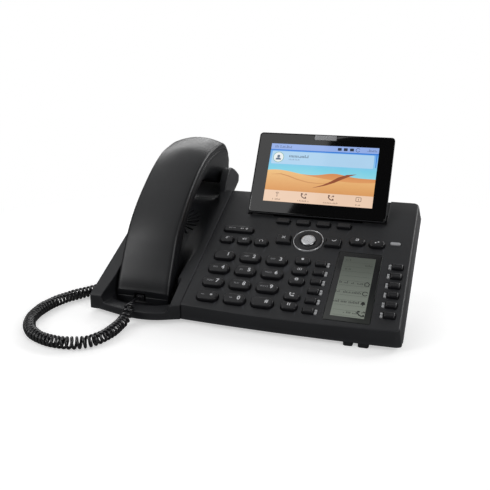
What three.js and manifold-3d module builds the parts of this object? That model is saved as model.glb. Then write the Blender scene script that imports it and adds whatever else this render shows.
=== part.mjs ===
// Desk IP phone with tilting colour screen, key-label display and corded handset.
// Millimetres, +Z up, desk at Z = 0, front towards -Y, handset on the left (-X).
//
// Frames used below:
//   panel  (u, v, h)          u to the right, v up the slope of the key panel, h out of it
//   level  (u, y, z)          same u; y back from the panel's front edge, z up from the desk
//   screen (side, rise, out)  side to the right of its middle, rise up the glass, out of its face
import * as THREE from "three";
import { mergeVertices } from "three/addons/utils/BufferGeometryUtils.js";
import Module from "manifold-3d";

const wasm = await Module();
wasm.setup();

// ---------------------------------------------------------------- driving dimensions
const RAD = Math.PI / 180;
const PANEL_ANGLE = 28; // slope of the key panel above the desk, degrees
const ORIGIN_X = 2.65; // world x of u = 0
const ORIGIN_Y = -82; // world y of the panel's front edge; y = 0 is the middle of the stand's foot
const FRONT_Z = 16; // height of the panel's front edge
const U_LEFT = -125;
const U_SEAM = -46.8; // joint between the cradle cover and the key cover
const U_RIGHT = 121.3;
const V_BACK = 142; // slope length of the panel
const SKIN = 2.4; // thickness of the covers' top
const WALL = 2.2; // thickness of the covers' sides
const COVER_DEPTH = 13.7; // how far the top covers wrap down the sides
const PLATE_TOP = 14; // depth of the bottom plate's upper face
const SLAB = 16; // depth of the bottom plate's lower face
const POD = 26; // depth of the electronics pod under the plate
const FLOOR_Z = 3.5; // underside of the body above the desk, at the front
const GAP = 0.3; // joint between neighbouring shells
const FLARE = 0.157; // outward lean of the right side wall per mm of depth
const BOW = { depth: 2.2, middle: 37.25, half: 84 }; // gentle forward bow of the front edge

const KEY_COVER_LEFT = U_SEAM + GAP / 2;
const CRADLE_RIGHT = U_SEAM - GAP / 2;
const HANDSET_U = -86.6;
const HANDSET_W = 47;
const SPEAKER_V = 98;
const NAV = { u: 37.5, v: 83.47, ring: 12.6, rocker: 11.45, ok: 6.1 }; // centre and radii
const SCREEN = { u: 37.2, v: 110.86, h: 4, tilt: 60.24, half: 58.83, low: -37.17, high: 36.2 };
const SCREEN_DEPTH = 9.2;
const HINGE = { v: 124, h: -8, barrel: 3.5, journal: 2.2 }; // axis and radii
// Recess around the screen's lower edge: deep up to one v, open right through up to another.
const POCKET = { u0: -23.3, u1: 97.75, v0: 110.8, deep: 124.6, open: 135.4 };

// ---------------------------------------------------------------- frames
const COS = Math.cos(PANEL_ANGLE * RAD);
const SIN = Math.sin(PANEL_ANGLE * RAD);
const SCREEN_TILT = (SCREEN.tilt - PANEL_ANGLE) * RAD; // screen against the panel
const toLevel = (v, h) => [v * COS - h * SIN, v * SIN + h * COS + FRONT_Z];
const level = (u, y, z) => [u + ORIGIN_X, y + ORIGIN_Y, z];
const panel = (u, v, h) => level(u, ...toLevel(v, h));
function onScreen(side, rise, out) {
  const up = rise - SCREEN.low;
  return panel(
    SCREEN.u + side,
    SCREEN.v + up * Math.cos(SCREEN_TILT) - out * Math.sin(SCREEN_TILT),
    SCREEN.h + up * Math.sin(SCREEN_TILT) + out * Math.cos(SCREEN_TILT),
  );
}
// Where the plane of constant h passes, in the level frame.
const zAt = (y, h) => FRONT_Z + h / COS + (y * SIN) / COS;
const yAt = (z, h) => ((z - FRONT_Z - h / COS) * COS) / SIN;

// ---------------------------------------------------------------- solids
// Manifold from a closed geometry; mirrored frames turn it inside out, so it may need flipping.
function solid(geometry) {
  const bare = geometry.clone();
  bare.deleteAttribute("normal");
  bare.deleteAttribute("uv");
  const merged = mergeVertices(bare, 1e-4);
  const vertProperties = new Float32Array(merged.attributes.position.array);
  const triVerts = new Uint32Array(merged.index.array);
  const make = () => new wasm.Manifold(new wasm.Mesh({ numProp: 3, vertProperties, triVerts }));
  const made = make();
  if (made.volume() >= 0) return made;
  for (let i = 0; i < triVerts.length; i += 3) {
    [triVerts[i + 1], triVerts[i + 2]] = [triVerts[i + 2], triVerts[i + 1]];
  }
  return make();
}

// Skin over a list of equal rings of [x, y, z], closed by a fan at each end.
function loft(rings) {
  const count = rings[0].length;
  const positions = rings.flat(2);
  const index = [];
  for (let r = 0; r + 1 < rings.length; r++) {
    for (let i = 0; i < count; i++) {
      const j = (i + 1) % count;
      const here = r * count + i;
      const next = r * count + j;
      index.push(here, next, next + count, here, next + count, here + count);
    }
  }
  const cap = (r, flip) => {
    const middle = [0, 1, 2].map((k) => rings[r].reduce((sum, p) => sum + p[k], 0) / count);
    const hub = positions.length / 3;
    positions.push(...middle);
    for (let i = 0; i < count; i++) {
      const here = r * count + i;
      const next = r * count + ((i + 1) % count);
      index.push(hub, ...(flip ? [next, here] : [here, next]));
    }
  };
  cap(0, true);
  cap(rings.length - 1, false);
  const geometry = new THREE.BufferGeometry();
  geometry.setAttribute("position", new THREE.BufferAttribute(new Float32Array(positions), 3));
  geometry.setIndex(index);
  return solid(geometry);
}

// Loft over layers of [outline, height], placed by a frame.
const stack = (layers, place) =>
  loft(layers.map(([outline, height]) => outline.map(([p, q]) => place(p, q, height))));

// Flat outline pushed from start to end, placed by place(p, q, travel).
function prism(outline, start, end, place) {
  const shape = new THREE.Shape(outline.map(([p, q]) => new THREE.Vector2(p, q)));
  const options = { depth: end - start, bevelEnabled: false, steps: 1 };
  const geometry = new THREE.ExtrudeGeometry(shape, options);
  const at = geometry.attributes.position;
  for (let i = 0; i < at.count; i++) {
    at.setXYZ(i, ...place(at.getX(i), at.getY(i), at.getZ(i) + start));
  }
  return solid(geometry);
}
// Named by the direction of travel; the outline is in the two other axes of the frame.
const extrudeH = (outline, h0, h1) => prism(outline, h0, h1, panel);
const extrudeU = (outline, u0, u1) => prism(outline, u0, u1, (v, h, u) => panel(u, v, h));
const extrudeV = (outline, v0, v1) => prism(outline, v0, v1, (u, h, v) => panel(u, v, h));
const extrudeLevelU = (outline, u0, u1) => prism(outline, u0, u1, (y, z, u) => level(u, y, z));
const extrudeZ = (outline, z0, z1) => prism(outline, z0, z1, level);
const extrudeScreen = (outline, out0, out1) => prism(outline, out0, out1, onScreen);

const rect = (p0, p1, q0, q1) => [[p0, q0], [p1, q0], [p1, q1], [p0, q1]];
const box = (u0, u1, v0, v1, h0, h1) => extrudeH(rect(u0, u1, v0, v1), h0, h1);

function rounded(cx, cy, width, depth, radius, steps) {
  const points = [];
  for (const [sx, sy, start] of [[1, 1, 0], [-1, 1, 90], [-1, -1, 180], [1, -1, 270]]) {
    for (let i = 0; i <= steps; i++) {
      const angle = (start + (90 * i) / steps) * RAD;
      points.push([
        cx + sx * (width / 2 - radius) + radius * Math.cos(angle),
        cy + sy * (depth / 2 - radius) + radius * Math.sin(angle),
      ]);
    }
  }
  return points;
}
function circle(cx, cy, radius, steps) {
  return Array.from({ length: steps }, (_, i) => {
    const angle = (2 * Math.PI * i) / steps;
    return [cx + radius * Math.cos(angle), cy + radius * Math.sin(angle)];
  });
}
// Half a section, closed by its mirror image about the first axis's zero.
const mirrored = (half) => [...half, ...half.slice().reverse().map(([p, q]) => [-p, q])];
const largest = (made) => made.decompose().sort((a, b) => b.volume() - a.volume())[0];

// ---------------------------------------------------------------- materials and group
const LOOKS = {
  body: { color: 0x2b2c2e, roughness: 0.62, metalness: 0 },
  key: { color: 0x1c1c1e, roughness: 0.5, metalness: 0 },
  handset: { color: 0x26272a, roughness: 0.5, metalness: 0 },
  glass: { color: 0x08090a, roughness: 0.08, metalness: 0 },
  screen: { color: 0x6f9fd8, roughness: 0.3, metalness: 0 },
  lcd: { color: 0x7c857a, roughness: 0.35, metalness: 0 },
  lamp: { color: 0xb9babb, roughness: 0.35, metalness: 0 },
  chrome: { color: 0xcfcfcf, roughness: 0.15, metalness: 1 },
  cord: { color: 0x121214, roughness: 0.45, metalness: 0 },
  board: { color: 0x1d5a34, roughness: 0.6, metalness: 0 },
  metal: { color: 0x8d9094, roughness: 0.35, metalness: 1 },
};

const root = new THREE.Group();
root.name = "desk_ip_phone";

function add(name, made, look) {
  const { vertProperties, triVerts } = made.getMesh();
  const geometry = new THREE.BufferGeometry();
  geometry.setAttribute("position", new THREE.BufferAttribute(vertProperties, 3));
  geometry.setIndex(new THREE.BufferAttribute(triVerts, 1));
  geometry.computeVertexNormals();
  const mesh = new THREE.Mesh(geometry, new THREE.MeshStandardMaterial(LOOKS[look]));
  mesh.name = name;
  root.add(mesh);
}

// ---------------------------------------------------------------- body outlines
// Side view in (y, z): upright front, sloping top and underside, flat floor.
const sideOutline = ({ front, top, bottom, back = V_BACK, floor = FLOOR_Z }) => [
  [front, floor],
  [front, zAt(front, top)],
  toLevel(back, top),
  toLevel(back, bottom),
  [yAt(floor, bottom), floor],
];
const coverSide = (front) => sideOutline({ front, top: 0, bottom: -COVER_DEPTH });
// Side view of the space inside a top cover, open below.
const hollowSide = (front) => [
  [front, -8],
  [front, zAt(front, -SKIN)],
  toLevel(V_BACK - WALL, -SKIN),
  toLevel(V_BACK - WALL, -30),
];

// Outline in (u, v) with the back right corner rounded.
function slabOutline(u0, u1) {
  const radius = 5;
  const points = [[u0, -30], [u1, -30]];
  for (let i = 0; i <= 4; i++) {
    const angle = ((90 * i) / 4) * RAD;
    points.push([
      u1 - radius + radius * Math.cos(angle),
      V_BACK - radius + radius * Math.sin(angle),
    ]);
  }
  return [...points, [u0, V_BACK]];
}

// Outline in (u, y) with the bowed front and its right corner rounded.
function bowedOutline(u0, u1, inset, radius) {
  const frontY = (u) => -BOW.depth * (1 - ((u - BOW.middle) / BOW.half) ** 2) + inset;
  const end = u1 - radius;
  const points = [];
  for (let i = 0; i <= 8; i++) {
    const u = u0 + ((end - u0) * i) / 8;
    points.push([u, frontY(u)]);
  }
  for (let i = 1; i <= 4; i++) {
    const angle = (-90 + (90 * i) / 4) * RAD;
    points.push([
      end + radius * Math.cos(angle),
      frontY(end) + radius + radius * Math.sin(angle),
    ]);
  }
  return [...points, [u1, 160], [u0, 160]];
}

// Everything between u0 and the leaning right side wall.
function flaredSide(u0) {
  const wallU = (h) => U_RIGHT - h * FLARE;
  return extrudeV([[u0, 30], [u0, -60], [wallU(-60), -60], [wallU(30), 30]], -60, 240);
}

// ---------------------------------------------------------------- key cover, before its openings
function keyCoverShell() {
  const left = KEY_COVER_LEFT;
  const outer = extrudeLevelU(coverSide(-6), left, U_RIGHT + 3)
    .intersect(extrudeZ(bowedOutline(left, U_RIGHT + 2, 0, 4.5), -10, 140))
    .intersect(extrudeH(slabOutline(left, U_RIGHT + 3), -60, 20))
    .intersect(flaredSide(left));
  const inner = extrudeLevelU(hollowSide(-6), left + WALL, U_RIGHT - WALL).intersect(
    extrudeZ(bowedOutline(left + WALL, U_RIGHT - WALL, WALL, 1), -20, 140),
  );
  const { u0, u1, v0, deep, open } = POCKET;
  const back = V_BACK - 2.4;
  const block = box(u0 - 2, u1 + 2, v0 - 1.6, V_BACK - 0.5, -COVER_DEPTH, -0.6);
  return wasm.Manifold.difference([
    outer.subtract(inner).add(block),
    box(u0, u1, v0, V_BACK + 10, -1.6, 6), // shallow recess behind the screen
    box(u0, u1, v0, deep, -5.6, 6), // deeper under its lower edge
    box(-2, 78, v0, open, -30, 6), // open where the hinge arms pass
    box(u0 + 0.5, -4.2, v0 + 0.7, back, -30, -8), // hollows below: left, right, back
    box(80.2, u1 - 0.5, v0 + 0.7, back, -30, -8),
    box(-4, 80, open + 2, back, -30, -4),
  ]);
}

// ---------------------------------------------------------------- keys
const KEY_FIT = 0.35; // clearance around a key
const KEY_FOOT = -4.2; // h of a key's foot
const KEY_NECK = -2.95; // h where the flared foot meets the upright cap
const KEY_BEVEL = 0.7;
const openings = []; // cut from the key cover
const keys = []; // [name, solid], added after the cover
const cutOpening = (outline) => openings.push(extrudeH(outline, -SKIN - 4, 4));

// Cap with a flared foot that stays under the cover; outline(grow) is the cap grown by some mm.
function makeKey(name, outline, top) {
  cutOpening(outline(KEY_FIT));
  const layers = [
    [outline(0.75), KEY_FOOT],
    [outline(0), KEY_NECK],
    [outline(0), top - KEY_BEVEL],
    [outline(-KEY_BEVEL), top],
  ];
  keys.push([name, stack(layers, panel)]);
}
function roundedKey(name, u, v, { width, depth, radius, top, steps = 2 }) {
  const outline = (grow) =>
    rounded(u, v, width + 2 * grow, depth + 2 * grow, radius + grow, steps);
  makeKey(name, outline, top);
}

const DIAL_NAMES = ["1", "2", "3", "4", "5", "6", "7", "8", "9", "star", "0", "hash"];
const DIAL = { u: -27.61, v: 55.97, pitchU: 22.38, pitchV: 15.18 };
const SOFT = { u: 11.29, v: 104.2, pitchU: 17.49 };
const FUNCTION_U = 38.29;
const AUDIO_V = 75.5;
const SIZE = {
  dial: { width: 17.6, depth: 9.4, radius: 4.4, top: 2.8, steps: 3 },
  audio: { width: 11.8, depth: 7.4, radius: 3.2, top: 2.5 },
  volume: { width: 26.6, depth: 6.6, radius: 2.8, top: 2.4 },
  function: { width: 12.2, depth: 7.4, radius: 3.2, top: 2.5 },
  soft: { width: 11.4, depth: 5.4, radius: 1.2, top: 2.2 },
  side: { width: 12.2, depth: 7.6, radius: 3.2, top: 2.5 },
};
// [name, u, v, size]
const SINGLE_KEYS = [
  ["mute_key", -31.5, AUDIO_V, SIZE.audio],
  ["speaker_key", -16.1, AUDIO_V, SIZE.audio],
  ["headset_key", -1.1, AUDIO_V, SIZE.audio],
  ["volume_rocker", -24.7, 88.8, SIZE.volume],
  ["message_key", FUNCTION_U, 58.62, SIZE.function],
  ["dnd_key", FUNCTION_U, 47.3, SIZE.function],
  ["menu_key", FUNCTION_U, 36.3, SIZE.function],
  ["redial_key", FUNCTION_U, 20.07, SIZE.function],
  ["hold_key", FUNCTION_U, 10.17, SIZE.function],
  ...[0, 1, 2, 3].map((i) => [`soft_key_${i + 1}`, SOFT.u + SOFT.pitchU * i, SOFT.v, SIZE.soft]),
  ["directory_key", 77.5, 86.6, SIZE.side],
  ["transfer_key", 93.5, 85.7, SIZE.side],
];
DIAL_NAMES.forEach((label, i) => {
  const u = DIAL.u + DIAL.pitchU * (i % 3);
  const v = DIAL.v - DIAL.pitchV * Math.floor(i / 3);
  roundedKey("dial_key_" + label, u, v, SIZE.dial);
});
for (const [name, u, v, size] of SINGLE_KEYS) roundedKey(name, u, v, size);

// Key whose side facing the navigation ring is hollowed to follow it.
// side is 1 for a key left of the ring, -1 for one on its right.
function hollowedKey(name, u, v, side) {
  const outline = (grow) => {
    const points = [];
    const radius = NAV.ring + 2.6 - grow;
    const reach = 4.6 + grow;
    for (let i = 0; i <= 6; i++) {
      const atV = v - reach + (2 * reach * i) / 6;
      points.push([NAV.u - side * Math.sqrt(radius ** 2 - (atV - NAV.v) ** 2), atV]);
    }
    const far = u - side * (6 + grow);
    const shoulder = 3.2 + grow * 0.6;
    points.push([far + side * 1.4, v + reach], [far, v + shoulder]);
    points.push([far, v - shoulder], [far + side * 1.4, v - reach]);
    return side > 0 ? points : points.reverse();
  };
  makeKey(name, outline, 2.6);
}
hollowedKey("cancel_key", 17.1, 81.7, 1);
hollowedKey("confirm_key", 58.7, 83.0, -1);

// Line keys: two columns beside the label display, each key with a lamp window on its inner side.
const LINE = { width: 8.4, depth: 5.2, pitchV: 9.87, lampOffset: 5.75, count: 6 };
const LINE_COLUMNS = [
  { name: "left", u: 53.36, v: 57.97, side: 1 }, // side points to the lamp
  { name: "right", u: 112.51, v: 62.78, side: -1 },
];
const lampU = ({ u, side }) => u + side * LINE.lampOffset;
const lamps = []; // [u, v]

function lineKey(column, number) {
  const { u, side } = column;
  const v = column.v - LINE.pitchV * (number - 1);
  const { width, depth } = LINE;
  const cap = rounded(u, v, width, depth, 1.2, 1);
  const layers = [
    [rounded(u, v, width + 0.5, depth + 1.2, 1, 1), KEY_FOOT],
    [cap, KEY_NECK],
    [cap, 1.7],
    [rounded(u, v, width - 1.4, depth - 1.4, 0.8, 1), 2.3],
  ];
  keys.push([`line_key_${column.name}_${number}`, stack(layers, panel)]);
  // One opening takes the key and its lamp window.
  const far = lampU(column) + side * 1.35;
  const near = u - side * (width / 2 + KEY_FIT);
  const halfV = depth / 2 + KEY_FIT;
  cutOpening(rect(Math.min(near, far), Math.max(near, far), v - halfV, v + halfV));
  lamps.push([lampU(column), v]);
}
for (let number = 1; number <= LINE.count; number++) {
  for (const column of LINE_COLUMNS) lineKey(column, number);
}

// ---------------------------------------------------------------- navigation ring, rocker, centre key
const navCircle = (radius, steps) => circle(NAV.u, NAV.v, radius, steps);
function navDisc({ radius, bottom, top, steps, bevel, bevelHeight = bevel }) {
  const layers = [
    [navCircle(radius, steps), bottom],
    [navCircle(radius, steps), top - bevelHeight],
    [navCircle(radius - bevel, steps), top],
  ];
  return stack(layers, panel);
}
const navRing = (hole, disc) =>
  navDisc(disc).subtract(
    extrudeH(navCircle(hole, disc.steps), disc.bottom - 2, disc.top + 2),
  );
const NAV_RING = { radius: NAV.ring, bottom: -2.2, top: 1.0, steps: 36, bevel: 0.25 };
const NAV_ROCKER = { radius: NAV.rocker, bottom: -3.4, top: 1.3, steps: 28, bevel: 0.4 };
const NAV_OK = { radius: NAV.ok, bottom: -4.6, top: 2, steps: 24, bevel: 0.6, bevelHeight: 0.5 };
cutOpening(navCircle(NAV.ring + KEY_FIT, 40));
add("nav_ring", navRing(NAV.rocker + 0.35, NAV_RING), "chrome");
add("nav_rocker", navRing(NAV.ok + 0.5, NAV_ROCKER), "key");
add("nav_ok_key", navDisc(NAV_OK), "chrome");

// ---------------------------------------------------------------- light guide: lamp windows on one comb
const STATUS = { u: 107.7, v: 89.2, width: 8.0, depth: 3.2 }; // status window, top right

function lightGuide() {
  const [left, right] = LINE_COLUMNS.map(lampU);
  const strip = (u0, u1, v0, v1) => box(u0, u1, v0, v1, -7.2, -5.9);
  let guide = strip(left - 1, left + 1, 4, 66)
    .add(strip(right - 1, right + 1, 4, 66))
    .add(strip(left - 0.9, right + 0.9, 34, 37))
    .add(strip(right - 1, right + 1, 60, STATUS.v + 1))
    .add(extrudeH(rounded(STATUS.u, STATUS.v, STATUS.width, STATUS.depth, 1.5, 2), -7, 0.35));
  for (const [u, v] of lamps) {
    guide = guide.add(box(u - 1.05, u + 1.05, v - 2.45, v + 2.45, -6.8, 0.3));
  }
  return guide;
}
cutOpening(rounded(STATUS.u, STATUS.v, STATUS.width + 0.7, STATUS.depth + 0.7, 1.8, 2));
add("light_guide", lightGuide(), "lamp");

// ---------------------------------------------------------------- key-label display
const LABELS = { u: 82.5, v: 39, width: 35, depth: 72 }; // opening, by its centre

function keyDisplay() {
  const { u, v, width, depth } = LABELS;
  return extrudeH(rounded(u, v, width - 0.6, depth - 0.6, 0.8, 2), -2.4, 0.15).add(
    box(u - 15, u + 15, v - 34, v + 34, -5.2, -2.2),
  );
}
cutOpening(rounded(LABELS.u, LABELS.v, LABELS.width, LABELS.depth, 1.1, 2));
add("key_display", keyDisplay(), "lcd");

add("key_cover", wasm.Manifold.difference([keyCoverShell(), ...openings]), "body");
for (const [name, made] of keys) add(name, made, "key");

// ---------------------------------------------------------------- cradle cover
const LEDGE_Z = 9.6; // top of the ledge in front of the mouthpiece
const MOUTH_Z = 5; // floor of the recess behind it
// Left edge and front of the cradle in plan, [u, y].
const CRADLE_PLAN = [
  [U_LEFT - 0.9, -1.3], [CRADLE_RIGHT, -0.6], [CRADLE_RIGHT, 160], [U_LEFT, 160], [U_LEFT, 30],
  [U_LEFT - 0.4, 20], [U_LEFT - 1.2, 8], [U_LEFT - 1.9, 1], [U_LEFT - 1.7, -0.5],
];
// Lip that bows forward below the mouthpiece end, in plan, [u, y].
const LIP_PLAN = [
  [-119, -0.9], [-115, -2.3], [-106.5, -5], [-97.7, -7.6], [-89, -9.6], [-81, -10.6],
  [-73, -10.4], [-64, -8.6], [-56, -5], [-50, -2.2], [CRADLE_RIGHT, -0.6],
  [CRADLE_RIGHT, 5.9], [-54.2, 5.9], [-54.2, 22.5], [-117.6, 22.5], [-119, 4],
];
// Ear rest that rises behind the panel's back edge, [v, h].
const EAR_REST = [
  [138, -COVER_DEPTH], [138, -0.5], [145, 10], [152, 15.6], [160, 14.4], [170, 5],
  [179, -7.5], [174, -15.5], [142.6, -15.8], [142.6, -COVER_DEPTH],
];
// Trough the handset lies in: stations of [v, half width, floor depth, run of the side].
const TROUGH = [
  [8.5, 20, 17, 3], [11, 23.5, 18.3, 3.5], [15, 26, 19, 4], [22, 27.2, 19, 4.5],
  [32, 27.4, 18.6, 5], [42, 27.3, 15.5, 6], [50, 28, 10.5, 9], [60, 29.5, 6.2, 14],
  [72, 31, 5, 17], [120, 31, 5, 17], [132, 29, 7, 12], [142, 26.5, 10.5, 5],
  [150, 25.6, 12, 3], [186, 25.4, 12, 3],
];
// Sides of the opening between the two front posts, sweeping up to them, [u, z].
const OPENING_LEFT = [
  [-112, LEDGE_Z], [-113.6, 10.3], [-114.6, 12], [-115.2, 14.6], [-116, 50],
];
const OPENING_RIGHT = [
  [-55.2, 50], [-55.6, 14.6], [-56.2, 12], [-57, 10.3], [-58.6, LEDGE_Z],
];

function trough(grow) {
  return loft(
    TROUGH.map(([v, halfWidth, floor, run]) => {
      const edge = halfWidth + grow;
      const depth = floor + grow;
      const half = [
        [edge, 24],
        [edge, -0.4],
        [edge - 0.25 * run, -0.5 * depth],
        [edge - 0.6 * run, -0.86 * depth],
        [edge - run, -depth],
      ];
      return mirrored(half).map(([side, h]) => panel(HANDSET_U + side, v, h));
    }),
  );
}

// Underside of the trough, clipped to the body.
const troughTub = () =>
  trough(2)
    .subtract(box(-200, 100, -60, 260, -0.5, 40))
    .intersect(box(U_LEFT, CRADLE_RIGHT, 5.5, 176, -30, 30))
    .intersect(extrudeZ(rect(-130, -40, -20, 200), FLOOR_Z, 200));

function postOpening() {
  const section = (y, inset) => [
    ...OPENING_LEFT.map(([u, z]) => level(u + inset, y, z)),
    ...OPENING_RIGHT.map(([u, z]) => level(u - 0.3 * inset, y, z)),
  ];
  return loft([section(-14, -0.4), section(-1.5, 0), section(20.5, 2.6)]);
}

// Recess under the mouthpiece, its front an elliptical arc.
function mouthRecess() {
  const middle = -87.2;
  const half = 28.4;
  const points = [];
  for (let i = 0; i <= 16; i++) {
    const side = -half + (2 * half * i) / 16;
    points.push([middle + side, 32 - 30 * Math.sqrt(1 - (side / 35) ** 2)]);
  }
  points.push([middle + half, 18], [middle - half, 18]);
  return extrudeZ(points, MOUTH_Z, 60);
}

// Radial grille over the loudspeaker.
function grilleSlots() {
  return Array.from({ length: 20 }, (_, i) => {
    const angle = (i * 18 + 9) * RAD;
    const at = (radius, aside) => [
      HANDSET_U + radius * Math.cos(angle) - aside * Math.sin(angle),
      SPEAKER_V + radius * Math.sin(angle) + aside * Math.cos(angle),
    ];
    return extrudeH([at(8, -0.7), at(19.5, -0.9), at(19.5, 0.9), at(8, 0.7)], -12, -1);
  });
}

function cradleCover() {
  const hollow = extrudeLevelU(hollowSide(0), U_LEFT + WALL, CRADLE_RIGHT - WALL).intersect(
    extrudeZ(rect(U_LEFT + WALL, CRADLE_RIGHT - WALL, 1.2 + WALL, 160), -20, 140),
  );
  const postBacking = [[2, FLOOR_Z], [2, zAt(2, -0.8)], [24, zAt(24, -0.8)], [24, FLOOR_Z]];
  const earEnd = [[170, -12], [170, 30], [200, 30], [200, -12]];
  const cover = extrudeLevelU(coverSide(-3), U_LEFT - 3, CRADLE_RIGHT)
    .intersect(extrudeZ(CRADLE_PLAN, -10, 140))
    .subtract(hollow)
    .add(extrudeZ(LIP_PLAN, FLOOR_Z, LEDGE_Z))
    .add(extrudeLevelU(postBacking, -119, -54.2))
    .add(extrudeU(EAR_REST, HANDSET_U - 31.5, HANDSET_U + 31.8))
    .add(troughTub())
    .subtract(trough(0))
    .subtract(extrudeU(earEnd, HANDSET_U - 25.4, HANDSET_U + 25.4))
    .subtract(postOpening())
    .subtract(mouthRecess());
  const hookSlot = box(HANDSET_U - 5.6, HANDSET_U + 5.6, 28.6, 49.6, -24, -9);
  return largest(wasm.Manifold.difference([cover, ...grilleSlots(), hookSlot]));
}
add("cradle_cover", cradleCover(), "body");

// ---------------------------------------------------------------- hook lever
// Side view, [v, h].
const HOOK_LEVER = [
  [29.4, -18.1], [31, -17.7], [45, -19.4], [48.6, -19.4], [48.6, -22.7], [44.6, -22.7],
  [30, -20.2],
];
add("hook_lever", extrudeU(HOOK_LEVER, HANDSET_U - 5, HANDSET_U + 5), "key");

// ---------------------------------------------------------------- bottom cover
const BOTTOM_FRONT = 6.4; // y of the plate's front
const POD_BOX = { u0: -121, u1: 106, back: 132, wall: 2 };
const FOOT_DEPTH = 9.2;
// Front feet: [left u, right u, front y, front y of the block that ties it to the plate]
const FEET = [
  [-124.4, -120, 7.4, 9.4],
  [81.6, 88.6, -0.4, 7.2],
  [92.4, 100.2, -0.4, 7.2],
];
const BEARING = [
  [118.5, -SLAB + 0.5], [118.5, -9], [121, -4.6], [127, -4.6], [129.5, -9], [129.5, -SLAB + 0.5],
]; // side view, [v, h]
const BEARING_WIDTH = 7;

function bottomPlate() {
  const left = U_LEFT;
  const right = U_RIGHT + 3;
  const front = BOTTOM_FRONT;
  const outline = [
    [left, front + 1.8], [left + 3, front], [right - 5, front], [right - 1, front + 1.6],
    [right, front + 5], [right, 160], [left, 160],
  ];
  return extrudeLevelU(sideOutline({ front, top: -PLATE_TOP, bottom: -SLAB }), left, right)
    .intersect(extrudeH(slabOutline(left, right), -60, 20))
    .intersect(extrudeZ(outline, -10, 140))
    .intersect(flaredSide(left));
}

// The pod's block, drawn in by inset on every side but the top.
function podBlock(inset, top) {
  const side = sideOutline({
    front: BOTTOM_FRONT + 2.4 + inset,
    top,
    bottom: -POD + inset,
    back: POD_BOX.back - inset,
    floor: FLOOR_Z + inset,
  });
  return extrudeLevelU(side, POD_BOX.u0 + inset, POD_BOX.u1 - inset);
}

function bottomCover() {
  // The plate stays whole under the screen's pocket.
  const { u0, u1, v0 } = POCKET;
  const underPocket = box(u0 - 3, u1 + 3, v0 - 2.4, 160, -SLAB, 40);
  const podHollow = podBlock(POD_BOX.wall, -PLATE_TOP + 4).subtract(underPocket);
  let cover = bottomPlate()
    .add(podBlock(0, -PLATE_TOP))
    .subtract(podHollow)
    .subtract(extrudeZ(rect(-119.4, -53.2, -10, 25.4), -10, 14)); // room for the cradle's front
  for (const [left, right, front, tieFront] of FEET) {
    const middle = (left + right) / 2;
    const pad = rounded(middle, front + FOOT_DEPTH / 2, right - left, FOOT_DEPTH, 1.2, 1);
    const tie = rect(left + 0.6, right - 0.6, tieFront, front + 8.4);
    cover = cover.add(extrudeZ(pad, 0, FLOOR_Z - 0.4)).add(extrudeZ(tie, 1, FLOOR_Z + 1));
  }
  // Screen hinge bearings.
  const bore = circle(HINGE.v, HINGE.h, HINGE.journal + 0.35, 20);
  for (const u of [0, 69]) {
    cover = cover
      .add(extrudeU(BEARING, u, u + BEARING_WIDTH))
      .subtract(extrudeU(bore, u - 1, u + BEARING_WIDTH + 1));
  }
  return cover;
}
add("bottom_cover", bottomCover(), "body");

// ---------------------------------------------------------------- foot stand
const STAND = { left: -76, right: 70.7, rib: 3 };

function footStand() {
  const top = (y) => zAt(y, -POD) - 0.4;
  const outer = [[50, 0], [114, 0], [110, top(110)], [56, top(56)]];
  const inner = [[56, 3], [110.6, 3], [107.3, top(107.3) - 3.6], [59, top(59) - 3.2]];
  let stand = extrudeLevelU(outer, STAND.left, STAND.right).subtract(
    extrudeLevelU(inner, -100, 100),
  );
  const lastRib = STAND.right - STAND.rib;
  for (const u of [STAND.left, (STAND.left + lastRib) / 2, lastRib]) {
    stand = stand.add(extrudeLevelU(outer, u, u + STAND.rib));
  }
  // Cable windows in the rear wall.
  for (const [u0, u1] of [[-62, -12], [6.7, 56.7]]) {
    stand = stand.subtract(extrudeLevelU(rect(100, 120, 9, 30), u0, u1));
  }
  return stand;
}
add("foot_stand", footStand(), "body");

// ---------------------------------------------------------------- inside the body
const boardNotch = box(-42.1, -38, 11, 24, -12, -5); // front left corner
add("circuit_board", box(-42, 116, 12, 103, -9.4, -7.8).subtract(boardNotch), "board");

// Turned profile, [radius, h].
const SPEAKER_PROFILE = [
  [0, -22.6], [11, -22.6], [11, -16.5], [20.5, -11.6], [20.5, -9.2], [18.5, -9.2],
  [16, -10.4], [0, -11.4],
];
function loudspeaker() {
  const profile = SPEAKER_PROFILE.map(([radius, h]) => new THREE.Vector2(radius, h));
  const geometry = new THREE.LatheGeometry(profile, 28);
  const at = geometry.attributes.position;
  for (let i = 0; i < at.count; i++) {
    at.setXYZ(i, ...panel(HANDSET_U + at.getX(i), SPEAKER_V + at.getZ(i), at.getY(i)));
  }
  return solid(geometry);
}
add("loudspeaker", loudspeaker(), "metal");

// ---------------------------------------------------------------- screen unit
// Hinge arm, side view, [v, h].
const HINGE_ARM = [
  [117.6, -1.2], [131.5, 7.3], [128, -6.5], [126.6, -10.3], [124, -11.4], [121.4, -10.3],
  [120.5, -8],
];
// Outline of the glass, grown by some mm.
function screenOutline(grow, radius) {
  const width = 2 * (SCREEN.half + grow);
  const height = SCREEN.high - SCREEN.low + 2 * grow;
  return rounded(0, (SCREEN.high + SCREEN.low) / 2, width, height, radius, 3);
}

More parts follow.
